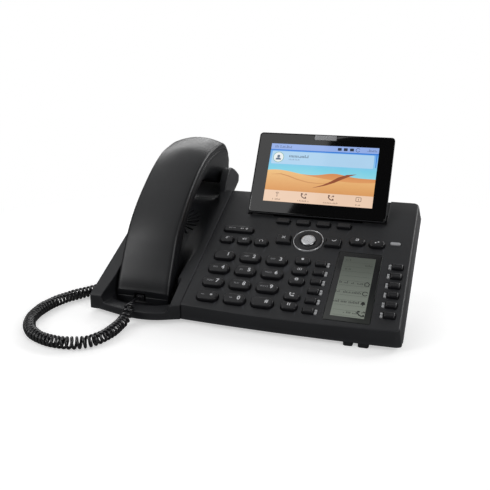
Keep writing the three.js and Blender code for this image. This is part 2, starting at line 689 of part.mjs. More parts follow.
function screenHousing() {
  const layers = [
    [screenOutline(-3.2, 2), -SCREEN_DEPTH],
    [screenOutline(0.4, 3), -SCREEN_DEPTH + 2.4],
    [screenOutline(1.1, 3), -0.6],
  ];
  let housing = stack(layers, onScreen)
    .subtract(extrudeScreen(screenOutline(0.3, 2.2), -2.0, 4)) // seat of the glass
    .subtract(extrudeScreen(rounded(0, 0, 104, 62.6, 1, 1), -5.6, 0)) // seat of the display
    .subtract(extrudeScreen(rounded(0, 34.5, 20.4, 8, 0.5, 1), -3.2, 4)); // seat of the lamp
  for (const u of [12, 55]) housing = housing.add(extrudeU(HINGE_ARM, u, u + 9));
  return housing
    .add(extrudeU(circle(HINGE.v, HINGE.h, HINGE.barrel, 20), 7.6, 68.4))
    .add(extrudeU(circle(HINGE.v, HINGE.h, HINGE.journal, 16), 1.2, 74.8));
}
const lampNotch = extrudeScreen(rounded(0, 35.6, 20.3, 8.1, 0.4, 1), -4, 2);
const screenGlass = extrudeScreen(screenOutline(0, 2), -1.5, 0).subtract(lampNotch);
add("screen_housing", screenHousing(), "body");
add("screen_glass", screenGlass, "glass");
add("main_display", extrudeScreen(rounded(0, 0, 103, 61.8, 0.8, 1), -5.2, -1.85), "screen");
add("message_lamp", extrudeScreen(rounded(0, 34.2, 19.6, 4.6, 0.6, 1), -2.9, 0.15), "lamp");

// ---------------------------------------------------------------- handset
// Stations along the grip:
// [outer face v, h, underside v, h, width factor, crown of the outer face]
const HANDSET = [
  [13.1, -5.3, 9.25, -16.7, 0.985, 0.35],
  [19.0, 0.1, 20.0, -17.4, 1, 0.57],
  [27.4, 6.2, 32.0, -15.5, 1, 0.82],
  [38.9, 14.4, 45.0, -8.0, 1, 1.1],
  [50.9, 22.3, 58.0, 2.5, 0.995, 1.4],
  [66.1, 29.3, 71.0, 11.0, 0.99, 1.7],
  [82.2, 34.2, 86.0, 17.4, 0.985, 2.0],
  [98.1, 37.4, 99.5, 20.2, 0.98, 2.4],
  [113.0, 39.5, 113.0, 21.0, 0.98, 2.7],
  [128.1, 40.4, 126.0, 19.6, 0.98, 3.1],
  [143.6, 39.4, 138.0, 14.0, 0.985, 3.4],
  [158.0, 35.5, 148.0, 4.6, 0.99, 3.8],
  [170.4, 31.1, 157.5, -4.6, 1, 4.1],
  [178.2, 26.9, 168.0, -9.6, 1, 4.5],
  [183.4, 21.7, 181.0, -10.0, 0.99, 4.8],
  [187.0, 13.4, 187.0, -4.5, 0.96, 5.1],
];
// Depth of the outer shell's side, less where the handset is thin.
const shellEdge = (thickness) => Math.min(6.2, thickness * 0.45);

// Shell from halfSection(thickness, halfWidth, crown), which gives [side, height above outer face].
function handsetShell(halfSection) {
  const rings = HANDSET.map(([outerV, outerH, underV, underH, widthFactor, crown]) => {
    const thickness = Math.hypot(outerV - underV, outerH - underH);
    const outV = (outerV - underV) / thickness;
    const outH = (outerH - underH) / thickness;
    const half = halfSection(thickness, (HANDSET_W / 2) * widthFactor, crown);
    return mirrored(half).map(([side, height]) =>
      panel(HANDSET_U + side, outerV + outV * height, outerH + outH * height),
    );
  });
  // Cord socket in the mouthpiece end.
  const socket = [[4, -9], [4, -15.5], [19, -14], [21, -7.3]];
  return loft(rings).subtract(extrudeU(socket, HANDSET_U - 8.5, HANDSET_U + 2.4));
}

const outerShell = handsetShell((thickness, halfWidth, crown) => [
  [halfWidth, -shellEdge(thickness)],
  [halfWidth, -3.2],
  [halfWidth - 1.1, -1],
  [halfWidth - 3.4, 0.02],
  [halfWidth * 0.6, crown * 0.52],
  [halfWidth * 0.3, crown * 0.88],
]);
const innerShell = handsetShell((thickness, halfWidth) => {
  const edge = shellEdge(thickness) + GAP;
  const depth = thickness - edge;
  return [
    [halfWidth - 0.2, -edge],
    [halfWidth - 0.6, -edge - depth * 0.5],
    [halfWidth - 3, -edge - depth * 0.88],
    [halfWidth - 7, -thickness],
  ];
});
add("handset_outer_shell", outerShell, "handset");
add("handset_inner_shell", largest(innerShell), "handset");

// ---------------------------------------------------------------- coiled cord, as a plain round bundle
// Centre line from the handset's socket, over the lip and round to the body's left: [u, y, z, radius]
const CORD = [
  [-89.7, 13.0, 10.6, 1.3], [-89.5, 9.0, 11.6, 1.4], [-88.6, 2.5, 12.2, 1.5],
  [-87.0, -3.5, 13.1, 1.7], [-85.6, -8.4, 13.7, 2.5], [-84.6, -13.2, 12.7, 3.9],
  [-84.6, -17.4, 9.3, 4.5], [-85.0, -22.5, 6.0, 4.7], [-85.0, -30, 4.9, 4.7],
  [-84.7, -41.5, 4.9, 4.7], [-86.4, -52.5, 4.9, 4.7], [-91, -62, 4.9, 4.7],
  [-99, -67.4, 4.9, 4.7], [-109.5, -69.9, 4.9, 4.7], [-121, -69.2, 4.9, 4.7],
  [-131, -65.9, 4.9, 4.7], [-141, -59.6, 4.9, 4.7], [-149.5, -50, 4.9, 4.7],
  [-155.5, -38.5, 4.9, 4.7], [-158.8, -24, 4.9, 4.7], [-159.2, -12, 4.9, 4.7],
  [-157.5, 0.5, 4.9, 4.7], [-153.8, 12, 4.9, 4.7], [-148.5, 22.6, 4.9, 4.7],
  [-143, 32, 4.9, 4.7], [-136.4, 43, 5.6, 4.7], [-131, 54, 9, 4.5],
  [-127.6, 63.5, 15.5, 3], [-126.2, 69.6, 22, 1.7], [-125.2, 73.4, 28, 1.5],
  [-123, 75.2, 31.6, 1.5],
];
function handsetCord() {
  const centres = CORD.map(([u, y, z]) => new THREE.Vector3(...level(u, y, z)));
  // Carried from ring to ring so that the tube does not twist.
  const normal = new THREE.Vector3(1, 0, 0);
  const rings = centres.map((centre, i) => {
    const before = centres[Math.max(i - 1, 0)];
    const after = centres[Math.min(i + 1, centres.length - 1)];
    const tangent = after.clone().sub(before).normalize();
    normal.addScaledVector(tangent, -normal.dot(tangent)).normalize();
    const binormal = new THREE.Vector3().crossVectors(tangent, normal);
    const radius = CORD[i][3];
    return circle(0, 0, radius, 10).map(([p, q]) =>
      centre.clone().addScaledVector(normal, p).addScaledVector(binormal, q).toArray(),
    );
  });
  return loft(rings);
}
add("handset_cord", handsetCord(), "cord");

export default root;
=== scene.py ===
import math

import bmesh
import bpy
import numpy as np
from mathutils import Matrix, Vector
from mathutils.bvhtree import BVHTree


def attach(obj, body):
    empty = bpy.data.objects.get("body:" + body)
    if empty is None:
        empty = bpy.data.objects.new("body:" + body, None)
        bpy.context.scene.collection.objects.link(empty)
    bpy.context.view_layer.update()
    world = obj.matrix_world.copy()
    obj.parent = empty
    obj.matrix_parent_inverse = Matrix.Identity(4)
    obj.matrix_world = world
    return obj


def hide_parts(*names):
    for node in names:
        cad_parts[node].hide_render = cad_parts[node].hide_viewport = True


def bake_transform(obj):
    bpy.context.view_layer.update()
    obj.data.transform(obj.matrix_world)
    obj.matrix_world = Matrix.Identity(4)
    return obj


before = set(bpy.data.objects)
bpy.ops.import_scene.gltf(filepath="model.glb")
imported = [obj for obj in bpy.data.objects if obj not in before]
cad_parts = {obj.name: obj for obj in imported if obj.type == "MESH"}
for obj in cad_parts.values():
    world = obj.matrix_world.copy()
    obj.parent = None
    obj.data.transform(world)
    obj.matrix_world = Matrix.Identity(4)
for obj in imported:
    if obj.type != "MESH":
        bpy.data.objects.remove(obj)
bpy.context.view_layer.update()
MM = 0.001

# ------------------------------------------------------------------ frames, shared with the CAD
SLOPE = math.radians(28)
COS, SIN = math.cos(SLOPE), math.sin(SLOPE)
SHIFT_X, SHIFT_Y, FRONT_Z = 2.65, -82.0, 16.0
LEFT_X, SEAM_X, RIGHT_X = -125.0, -46.8, 121.3  # cradle's left side, cover seam, right side
HANDSET_X = -86.6
BACK_Y = 142.0  # back edge of the panel, measured up the slope
FLOOR_Z = 3.5  # lower edge of the covers
FLARE = 0.157  # outward lean of the right side, per mm below the panel
SCREEN_X, SCREEN_Y, SCREEN_Z = 37.2, 110.86, 4.0  # middle of the glass's lower edge, on the panel
SCREEN_LOW, SCREEN_HIGH, SCREEN_HALF = -37.17, 36.2, 58.83
SCREEN_TILT = math.radians(60.24 - 28)  # screen against the panel
PANEL_NORMAL = Vector((0, -SIN, COS))


def to_level(y, z):
    """Level (y, z) of a point y up the slope and z off the panel."""
    return (y * COS - z * SIN, y * SIN + z * COS + FRONT_Z)


def level(x, y, z):
    """Point from level measures: y runs back, z up."""
    return Vector(((x + SHIFT_X) * MM, (y + SHIFT_Y) * MM, z * MM))


def panel(x, y, z):
    """Point from panel measures: y runs up the slope, z off the panel."""
    return level(x, *to_level(y, z))


def screen(x, y, z):
    """Point from screen measures: x and y from near the middle of the glass, z off it."""
    up = y - SCREEN_LOW
    return panel(
        SCREEN_X + x,
        SCREEN_Y + up * math.cos(SCREEN_TILT) - z * math.sin(SCREEN_TILT),
        SCREEN_Z + up * math.sin(SCREEN_TILT) + z * math.cos(SCREEN_TILT),
    )


def line_z(y, off):
    """Level height, at level depth y, of the plane lying off the panel by off."""
    return FRONT_Z + off / COS + y * SIN / COS


def y_at(z, off):
    """Level depth at which that plane reaches height z."""
    return (z - FRONT_Z - off / COS) * COS / SIN


# ------------------------------------------------------------------ shader tools
def srgb(red, green, blue):
    def linear(value):
        value /= 255
        return value / 12.92 if value <= 0.04045 else ((value + 0.055) / 1.055) ** 2.4

    return (linear(red), linear(green), linear(blue), 1.0)


def shade(colour, factor):
    return tuple(min(1, part * factor) for part in colour[:3]) + (1.0,)


class Shader:
    """A material with one Principled surface, and short calls that add nodes."""

    def __init__(self, name):
        self.material = bpy.data.materials.new(name)
        self.material.use_nodes = True
        self.tree = self.material.node_tree
        self.tree.nodes.clear()
        self.out = self.add("OutputMaterial")
        self.surface = self.add("BsdfPrincipled")
        self.feed(self.surface.outputs[0], self.out.inputs[0])
        self.place = self.add("TexCoord").outputs["Object"]

    def add(self, kind):
        return self.tree.nodes.new("ShaderNode" + kind)

    def feed(self, source, target):
        """Links a socket to an input, or sets the input to a plain value."""
        if isinstance(source, bpy.types.NodeSocket):
            self.tree.links.new(source, target)
        else:
            target.default_value = source

    def set(self, values):
        for name, value in values.items():
            self.feed(value, self.surface.inputs[name])

    def noise(self, scale, detail=3, rough=0.5, stretch=None):
        node = self.add("TexNoise")
        node.inputs["Scale"].default_value = scale
        node.inputs["Detail"].default_value = detail
        node.inputs["Roughness"].default_value = rough
        source = self.place
        if stretch:
            mapping = self.add("Mapping")
            mapping.inputs["Scale"].default_value = stretch
            self.feed(source, mapping.inputs[0])
            source = mapping.outputs[0]
        self.feed(source, node.inputs["Vector"])
        return node.outputs["Fac"]

    def ramp(self, factor, stops):
        node = self.add("ValToRGB")
        elements = node.color_ramp.elements
        while len(elements) < len(stops):
            elements.new(0.5)
        for i, (position, value) in enumerate(stops):
            elements[i].position = position
            elements[i].color = value if isinstance(value, tuple) else (value, value, value, 1)
        self.feed(factor, node.inputs[0])
        return node.outputs[0]

    def math(self, operation, first, second):
        node = self.add("Math")
        node.operation = operation
        self.feed(first, node.inputs[0])
        self.feed(second, node.inputs[1])
        return node.outputs[0]

    def scaled(self, factor, gain, offset):
        return self.math("ADD", self.math("MULTIPLY", factor, gain), offset)

    def mix(self, factor, first, second):
        node = self.add("Mix")
        node.data_type = "RGBA"
        for i, value in ((0, factor), (6, first), (7, second)):
            self.feed(value, node.inputs[i])
        return node.outputs[2]

    def bump(self, height, strength, distance):
        node = self.add("Bump")
        node.inputs["Strength"].default_value = strength
        node.inputs["Distance"].default_value = distance
        self.feed(height, node.inputs["Height"])
        self.set({"Normal": node.outputs[0]})

    def edges(self):
        """1 on sharp outer edges, 0 elsewhere."""
        geometry = self.add("NewGeometry")
        return self.ramp(geometry.outputs["Pointiness"], [(0.545, 0.0), (0.62, 1.0)])

    def gradient(self, axis, low, high):
        """Rises from 0 to 1 between two places along an object axis."""
        separate = self.add("SeparateXYZ")
        self.feed(self.place, separate.inputs[0])
        return self.math("DIVIDE", self.math("SUBTRACT", separate.outputs[axis], low), high - low)


# ------------------------------------------------------------------ materials
def plastic(name, colour, rough, grain, bump, painted_edge_highlight, specular=0.5, vary=0.12):
    """Moulded plastic or print: fine grain, a slow change of tone, and a painted highlight that lightens
    sharp edges.
    """
    shader = Shader(name)
    fine = shader.noise(scale=grain, detail=4, rough=0.6)
    broad = shader.noise(scale=22)
    middle = shader.noise(scale=240)
    patches = shader.ramp(broad, [(0.35, 0.0), (0.65, 1.0)])
    base = shader.mix(patches, shade(colour, 1 - vary), shade(colour, 1 + vary))
    # painted highlight: sharp edges are lightened towards three times the base colour
    edge_highlight_mask = shader.math("MULTIPLY", shader.edges(), painted_edge_highlight)
    base = shader.mix(edge_highlight_mask, base, shade(colour, 3.0))
    uneven = shader.scaled(middle, gain=0.10, offset=rough - 0.05)
    shader.set({
        "Base Color": base,
        "Roughness": shader.math("ADD", uneven, shader.math("MULTIPLY", fine, 0.06)),
        "Specular IOR Level": specular,
        "Coat Roughness": 0.25,
    })
    shader.bump(fine, strength=bump, distance=0.00006)
    return shader.material


def chrome(name, metallic, stretch, rough, bump):
    shader = Shader(name)
    fine = shader.noise(scale=900, detail=4, rough=0.6, stretch=stretch)
    shader.set({
        "Metallic": metallic,
        "Base Color": shader.mix(fine, srgb(196, 197, 200), srgb(236, 237, 239)),
        "Roughness": shader.scaled(fine, gain=0.16, offset=rough),
    })
    shader.bump(fine, strength=bump, distance=0.00004)
    return shader.material


def black_glass():
    shader = Shader("screen_black_glass")
    smear = shader.noise(scale=35, detail=4, rough=0.6)
    shader.set({
        "Base Color": shader.mix(smear, srgb(7, 7, 8), srgb(11, 11, 12)),
        "Roughness": shader.scaled(smear, gain=0.05, offset=0.03),
        "Specular IOR Level": 0.9,
        "IOR": 1.55,
    })
    shader.bump(shader.noise(scale=14, detail=2), strength=0.02, distance=0.0002)
    return shader.material


def label_glass(name, stops, tint=None):
    """Reflective label panel or its border, with painted light: brighter towards the user, darker towards
    the back.
    """
    shader = Shader(name)
    # painted light: the colour fades from light at the front edge to dark at the back
    painted_light_fade = shader.gradient(1, panel(82, 5, 0).y, panel(82, 72, 0).y)
    colour = shader.ramp(painted_light_fade, stops)
    if tint:
        speckle = shader.math("MULTIPLY", shader.noise(scale=1500, detail=2), 0.25)
        colour = shader.mix(speckle, colour, tint)
    shader.set({
        "Base Color": colour,
        "Roughness": shader.scaled(shader.noise(scale=700, detail=2), gain=0.06, offset=0.12),
        "Specular IOR Level": 0.35,
    })
    shader.bump(shader.noise(scale=2400, detail=2), strength=0.04, distance=0.00003)
    return shader.material


# key, material name, sRGB, roughness, grain scale, bump, painted edge highlight, specular, change of tone
PLASTICS = [
    ("body", "body_charcoal", (34, 35, 38), 0.46, 3000, 0.35, 0.6, 0.5, 0.12),
    ("key", "key_black", (27, 27, 30), 0.36, 4200, 0.12, 0.5, 0.45, 0.12),
    ("handset", "handset_charcoal", (25, 26, 29), 0.37, 3200, 0.22, 0.25, 0.5, 0.12),
    ("dark", "dark_inner", (18, 18, 20), 0.6, 2200, 0.3, 0.1, 0.5, 0.12),
    ("cord", "cord_pvc", (26, 26, 29), 0.24, 1400, 0.04, 0.3, 0.8, 0.12),
    ("rubber", "foot_rubber", (22, 22, 22), 0.85, 1600, 0.5, 0.2, 0.5, 0.12),
    ("window", "lamp_window", (178, 179, 181), 0.35, 1800, 0.1, 0.0, 0.5, 0.06),
    ("ink", "key_print", (228, 229, 232), 0.55, 3000, 0.1, 0.0, 0.5, 0.05),
    ("ink_dim", "key_print_dim", (160, 161, 164), 0.55, 3000, 0.1, 0.0, 0.5, 0.05),
    ("tick", "tick_print", (20, 20, 22), 0.6, 3000, 0.1, 0.0, 0.5, 0.12),
    ("board", "board_green", (24, 92, 52), 0.45, 700, 0.4, 0.3, 0.5, 0.12),
    ("cone", "speaker_frame", (110, 112, 116), 0.35, 1200, 0.2, 0.4, 0.5, 0.12),
]
MAT = {key: plastic(name, srgb(*rgb), *look) for key, name, rgb, *look in PLASTICS}
translucent = MAT["window"].node_tree.nodes["Principled BSDF"].inputs
translucent["Subsurface Weight"].default_value = 0.2
translucent["Subsurface Radius"].default_value = (0.001, 0.001, 0.001)
MAT["chrome"] = chrome("trim_chrome", metallic=0.5, stretch=None, rough=0.10, bump=0.08)
MAT["brushed"] = chrome(
    "centre_key_metal", metallic=1.0, stretch=(1, 14, 14), rough=0.20, bump=0.25
)
MAT["glass"] = black_glass()
# painted light: the label panel is lightest at the front and darkest at the back
MAT["lcd"] = label_glass(
    "label_panel",
    [
        (0.0, srgb(158, 166, 154)),
        (0.35, srgb(140, 148, 137)),
        (0.75, srgb(100, 107, 98)),
        (1.0, srgb(84, 90, 82)),
    ],
    tint=shade(srgb(120, 126, 116), 0.8),
)
# painted light: the border is lightest at the front and darkest at the back
MAT["lcd_frame"] = label_glass(
    "label_panel_border",
    [(0.0, srgb(60, 62, 60)), (0.45, srgb(38, 39, 40)), (1.0, srgb(20, 20, 21))],
)
MAT["lcd_ink"] = plastic(
    "label_panel_segments", srgb(20, 23, 20), rough=0.3, grain=3000, bump=0.05, painted_edge_highlight=0.0
)


# ------------------------------------------------------------------ mesh tools
def new_object(name, data):
    ob = bpy.data.objects.new(name, data)
    bpy.context.scene.collection.objects.link(ob)
    return ob


def sharpen(mesh, crease=32):
    """Smooth shading, with edges sharper than crease degrees kept."""
    bm = bmesh.new()
    bm.from_mesh(mesh)
    bmesh.ops.recalc_face_normals(bm, faces=bm.faces)
    limit = math.radians(crease)
    for face in bm.faces:
        face.smooth = True
    for edge in bm.edges:
        edge.smooth = not (len(edge.link_faces) != 2 or edge.calc_face_angle(0) > limit)
    bm.to_mesh(mesh)
    bm.free()
    mesh.update()


def new_mesh(name, verts, faces, mats, index=None):
    mesh = bpy.data.meshes.new(name)
    mesh.from_pydata([tuple(p) for p in verts], [], faces)
    for mat in mats:
        mesh.materials.append(mat)
    if index is not None:
        mesh.polygons.foreach_set("material_index", index)
    return mesh


def build(name, verts, faces, mats, crease=32):
    mesh = new_mesh(name, verts, faces, mats)
    sharpen(mesh, crease)
    return new_object(name, mesh)


def loft(rings, base=0):
    """Vertices and faces of a capped skin over rings; base is the first vertex's number."""
    count = len(rings[0])
    verts = [p for ring in rings for p in ring]
    faces = []
    for r in range(len(rings) - 1):
        low, high = base + r * count, base + (r + 1) * count
        for i in range(count):
            j = (i + 1) % count
            faces.append((low + i, low + j, high + j, high + i))
    last = base + (len(rings) - 1) * count
    faces.append(tuple(base + i for i in range(count))[::-1])
    faces.append(tuple(last + i for i in range(count)))
    return verts, faces


def solid(name, stacks, *mats, crease=32):
    """One object made of a closed loft over each stack of rings."""
    verts, faces = [], []
    for rings in stacks:
        more_verts, more_faces = loft(rings, len(verts))
        verts += more_verts
        faces += more_faces
    return build(name, verts, faces, mats, crease)


def layers(outline, levels, place=panel):
    """Rings of outline(growth) at each (growth, height)."""
    return [[place(x, y, height) for x, y in outline(grow)] for grow, height in levels]


def cos_sin(degrees):
    angle = math.radians(degrees)
    return math.cos(angle), math.sin(angle)


def rrect(x, y, width, depth, radius, steps=8):
    """Rounded rectangle about (x, y)."""
    radius = max(0.02, min(radius, width / 2 - 0.01, depth / 2 - 0.01))
    out = []
    for side_x, side_y, start in ((1, 1, 0), (-1, 1, 90), (-1, -1, 180), (1, -1, 270)):
        for i in range(steps + 1):
            c, s = cos_sin(start + 90 * i / steps)
            out.append((
                x + side_x * (width / 2 - radius) + radius * c,
                y + side_y * (depth / 2 - radius) + radius * s,
            ))
    return out


def growing(x, y, width, depth, radius, steps=8, keep_radius=False):
    """Rounded rectangle as a function of its growth on every side."""

    def outline(grow):
        corner = radius if keep_radius else radius + grow
        return rrect(x, y, width + 2 * grow, depth + 2 * grow, corner, steps)

    return outline


def circle(x, y, radius, steps=48):
    angles = [2 * math.pi * i / steps for i in range(steps)]
    return [(x + radius * math.cos(a), y + radius * math.sin(a)) for a in angles]


def round_drop(radius, inward):
    """How far a rounded edge has fallen away at a distance inward from its rim."""
    return radius - math.sqrt(max(0, radius * radius - (radius - inward) ** 2))


def catmull(points, count, axes=3):
    """Rows on a smooth curve through points, evenly spread by the first axes columns."""
    rows = [np.array(p, float) for p in points]
    rows = [2 * rows[0] - rows[1]] + rows + [2 * rows[-1] - rows[-2]]
    fine = []
    for i in range(1, len(rows) - 2):
        a, b, c, d = rows[i - 1 : i + 3]
        for k in range(24):
            t = k / 24
            square, cube = (2 * a - 5 * b + 4 * c - d) * t * t, (-a + 3 * b - 3 * c + d) * t**3
            fine.append(0.5 * ((2 * b) + (-a + c) * t + square + cube))
    fine.append(rows[-2])
    fine = np.array(fine)
    steps = np.linalg.norm(np.diff(fine[:, :axes], axis=0), axis=1)
    travel = np.concatenate([[0], np.cumsum(steps)])
    at = np.linspace(0, travel[-1], count)
    columns = [np.interp(at, travel, fine[:, k]) for k in range(fine.shape[1])]
    return np.stack(columns, axis=1), travel[-1]


def bake(ob):
    """Applies the modifiers."""
    bpy.context.view_layer.update()
    depsgraph = bpy.context.evaluated_depsgraph_get()
    mesh = bpy.data.meshes.new_from_object(ob.evaluated_get(depsgraph))
    old = ob.data
    ob.modifiers.clear()
    ob.data = mesh
    bpy.data.meshes.remove(old)


def boolean(ob, *others, op="DIFFERENCE"):
    for other in others:
        modifier = ob.modifiers.new("b", "BOOLEAN")
        modifier.operation = op
        modifier.solver = "MANIFOLD"
        modifier.object = other
    bake(ob)
    for other in others:
        bpy.data.objects.remove(other)


def cutter(*stacks):
    return solid("cut", stacks, MAT["dark"])


def box(x0, x1, y0, y1, z0, z1, place=panel):
    corners = ((x0, y0), (x1, y0), (x1, y1), (x0, y1))
    return cutter([[place(x, y, z) for x, y in corners] for z in (z0, z1)])


def side_prism(points, x0, x1, place=panel):
    """A (y, z) outline drawn out from x0 to x1."""
    return cutter([[place(x, y, z) for y, z in points] for x in (x0, x1)])


def assign(ob, body, node=None):
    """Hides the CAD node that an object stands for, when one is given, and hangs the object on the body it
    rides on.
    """
    if node:
        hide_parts(node)
    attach(ob, body)


# ------------------------------------------------------------------ printed signs
def text_shapes(text, size, x, y, bold=True):
    """A text about (x, y) as one (points, triangles) shape."""
    curve = bpy.data.curves.new("t", "FONT")
    curve.body = text
    curve.size = size
    curve.align_x = "CENTER"
    curve.align_y = "CENTER"
    curve.offset = 0.022 * size if bold else 0.0
    curve.resolution_u = 4
    ob = new_object("t", curve)
    depsgraph = bpy.context.evaluated_depsgraph_get()
    mesh = bpy.data.meshes.new_from_object(ob.evaluated_get(depsgraph))
    bm = bmesh.new()
    bm.from_mesh(mesh)
    bmesh.ops.triangulate(bm, faces=bm.faces)
    points = [(vert.co.x + x, vert.co.y + y) for vert in bm.verts]
    triangles = [tuple(vert.index for vert in face.verts) for face in bm.faces]
    bm.free()
    bpy.data.objects.remove(ob)
    bpy.data.curves.remove(curve)
    bpy.data.meshes.remove(mesh)
    return [(points, triangles)]


def shapes(polys, x=0, y=0):
    """Polygons moved by (x, y), as (points, faces) shapes."""
    return [([(a + x, b + y) for a, b in poly], [tuple(range(len(poly)))]) for poly in polys]


def stroke(points, width, closed=False):
    """A bent line as convex quads."""
    quads = []
    points = list(points) + ([points[0]] if closed else [])
    for (x0, y0), (x1, y1) in zip(points, points[1:]):
        dx, dy = x1 - x0, y1 - y0
        length = math.hypot(dx, dy) or 1
        nx, ny = -dy / length * width / 2, dx / length * width / 2
        ex, ey = dx / length * width * 0.35, dy / length * width * 0.35
        quads.append([
            (x0 + nx - ex, y0 + ny - ey),
            (x0 - nx - ex, y0 - ny - ey),
            (x1 - nx + ex, y1 - ny + ey),
            (x1 + nx + ex, y1 + ny + ey),
        ])
    return quads


def arc(x, y, radius, start, end, steps=10):
    turns = [cos_sin(start + (end - start) * i / steps) for i in range(steps + 1)]
    return [(x + radius * c, y + radius * s) for c, s in turns]


def gear_tooth(angle):
    c, s = math.cos(angle), math.sin(angle)
    return [
        (c * 1.2 - s * 0.25, s * 1.2 + c * 0.25),
        (c * 1.2 + s * 0.25, s * 1.2 - c * 0.25),
        (c * 1.65 + s * 0.2, s * 1.65 - c * 0.2),
        (c * 1.65 - s * 0.2, s * 1.65 + c * 0.2),
    ]


# Generic signs about 4 mm wide, as lists of convex polygons.
ICONS = {
    "handset_out": stroke([(-1.5, 1.3), (-1.7, 0.2), (-0.9, -0.9), (0.3, -1.5), (1.4, -1.3)], 0.62)
    + stroke([(-1.7, 1.4), (-1.0, 1.2)], 0.8)
    + stroke([(1.4, -1.5), (1.2, -0.8)], 0.8)
    + stroke([(0.2, 0.5), (1.6, 1.3)], 0.35)
    + stroke([(0.9, 1.5), (1.7, 1.35), (1.5, 0.6)], 0.35),
    "mail": [circle(0, 0, 1.15, 14)],
    "info": stroke(arc(0, 0, 1.5, 130, 230), 0.35)
    + stroke(arc(0, 0, 1.5, -50, 50), 0.35)
    + stroke([(0, -0.8), (0, 0.4)], 0.5)
    + [circle(0, 1.0, 0.32, 8)],
    "gear": stroke(arc(0, 0, 0.95, 0, 360, 12), 0.6)
    + [gear_tooth(i * math.pi / 4) for i in range(8)],
    "hold": stroke([(-0.9, -1), (-0.9, 1)], 0.6)
    + stroke([(0.7, -1), (0.7, 1)], 0.6)
    + stroke([(-0.9, 0.9), (-0.2, 0.9)], 0.4),
    "mic": [rrect(0, 0.4, 0.9, 1.7, 0.42, 3)]
    + stroke(arc(0, 0.2, 1.0, 200, 340), 0.3)
    + stroke([(0, -0.8), (0, -1.4)], 0.3)
    + stroke([(1.0, 1.2), (1.9, 0.8)], 0.35),
    "speaker": [[(-1.4, -0.5), (-0.6, -0.5), (0.2, -1.2), (0.2, 1.2), (-0.6, 0.5), (-1.4, 0.5)]]
    + stroke(arc(0.2, 0, 1.0, -45, 45, 5), 0.3)
    + stroke(arc(0.2, 0, 1.7, -40, 40, 5), 0.3),
    "headset": stroke(arc(0, -0.1, 1.25, 0, 180, 8), 0.35)
    + [rrect(-1.25, -0.5, 0.7, 1.1, 0.2, 2), rrect(1.25, -0.5, 0.7, 1.1, 0.2, 2)],
    "cross": stroke([(-1.25, -1.1), (1.25, 1.1)], 0.5) + stroke([(-1.25, 1.1), (1.25, -1.1)], 0.5),
    "check": stroke([(-1.6, 0.1), (-0.4, -0.9), (1.8, 1.0)], 0.55),
    "book": stroke([(-1.0, -1.0), (-1.0, 1.0), (1.0, 1.0), (1.0, -1.0)], 0.4, closed=True)
    + stroke([(-0.4, 0.4), (0.5, 0.4)], 0.35),
    "arrows": stroke([(-1.6, -0.5), (-0.2, -0.5)], 0.4)
    + stroke([(0.2, 0.5), (1.6, 0.5)], 0.4)
    + stroke([(1.0, 1.1), (1.7, 0.5), (1.0, -0.1)], 0.35)
    + stroke([(-1.0, 0.1), (-1.7, -0.5), (-1.0, -1.1)], 0.35),
    "house": stroke([(-1.5, 0.1), (0, 1.4), (1.5, 0.1)], 0.4)
    + stroke([(-1.0, 0.1), (-1.0, -1.2), (1.0, -1.2), (1.0, 0.1)], 0.4),
    "bell": [
        [(-1.2, -0.8), (1.2, -0.8), (0.8, 0.6), (0.4, 1.1), (-0.4, 1.1), (-0.8, 0.6)],
        circle(0, -1.15, 0.35, 8),
    ],
    "ring": stroke(arc(0, 0, 1.3, 30, 330, 12), 0.4),
    "bars": stroke(arc(0, -0.3, 0.9, 50, 130, 5), 0.3)
    + stroke(arc(0, -0.3, 1.6, 50, 130, 6), 0.3)
    + stroke([(0, -1.6), (0, -0.2)], 0.35),
    "note": stroke(rrect(0, 0.1, 3.2, 2.6, 0.4, 2), 0.3, closed=True)
    + stroke([(0, -0.4), (0, 0.5)], 0.35),
    "person": [
        circle(0, 0.75, 0.85, 14),
        [(-1.6, -1.4), (1.6, -1.4), (1.5, -0.7), (0.8, -0.15), (-0.8, -0.15), (-1.5, -0.7)],
    ],
    "box": [rrect(0, 0, 2.6, 2.0, 0.3, 2)],
}


def icon(kind, scale=1.0):
    return [[(x * scale, y * scale) for x, y in poly] for poly in ICONS[kind]]


class Sheet:
    """Thin printed shapes in one mesh, lifted by base off the surface that place() spans."""

    def __init__(self, place, base):
        self.place, self.base = place, base
        self.verts, self.faces, self.index, self.mats = [], [], [], []

    def poly(self, points, mat, lift=0.0):
        first = len(self.verts)
        following = points[1:] + points[:1]
        if sum(x0 * y1 - x1 * y0 for (x0, y0), (x1, y1) in zip(points, following)) < 0:
            points = points[::-1]
        self.verts += [self.place(x, y, self.base + lift) for x, y in points]
        self.faces.append(tuple(range(first, first + len(points))))
        if mat not in self.mats:
            self.mats.append(mat)
        self.index.append(self.mats.index(mat))

    def rect(self, x0, y0, x1, y1, mat, lift=0.0):
        self.poly([(x0, y0), (x1, y0), (x1, y1), (x0, y1)], mat, lift)

    def polys(self, polys, mat, x=0.0, y=0.0, lift=0.0):
        for poly in polys:
            self.poly([(x + a, y + b) for a, b in poly], mat, lift)

    def words(self, x, y, count, height, mat, lift, seed, right=False):
        """Unreadable words: short upright bars; right sets the end, not the start, at x."""
        random = np.random.RandomState(seed)
        step = height * 0.55
        start = x - (count * step if right else 0)
        for i in range(count):
            if random.rand() < 0.14:
                continue
            tall = height * (1.0 if random.rand() < 0.3 else 0.72)
            x0 = start + i * step
            x1 = x0 + step * 0.62
            self.rect(x0, y, x1, y + tall * 0.38, mat, lift)
            if random.rand() < 0.75:
                self.rect(x0, y + tall * 0.58, x1, y + tall, mat, lift)

    def make(self, name):
        return new_object(name, new_mesh(name, self.verts, self.faces, self.mats, self.index))


# ------------------------------------------------------------------ keys
PRINT_LIFT = 0.035
openings = []  # (outline by growth, rim radius) of every hole in the key cover


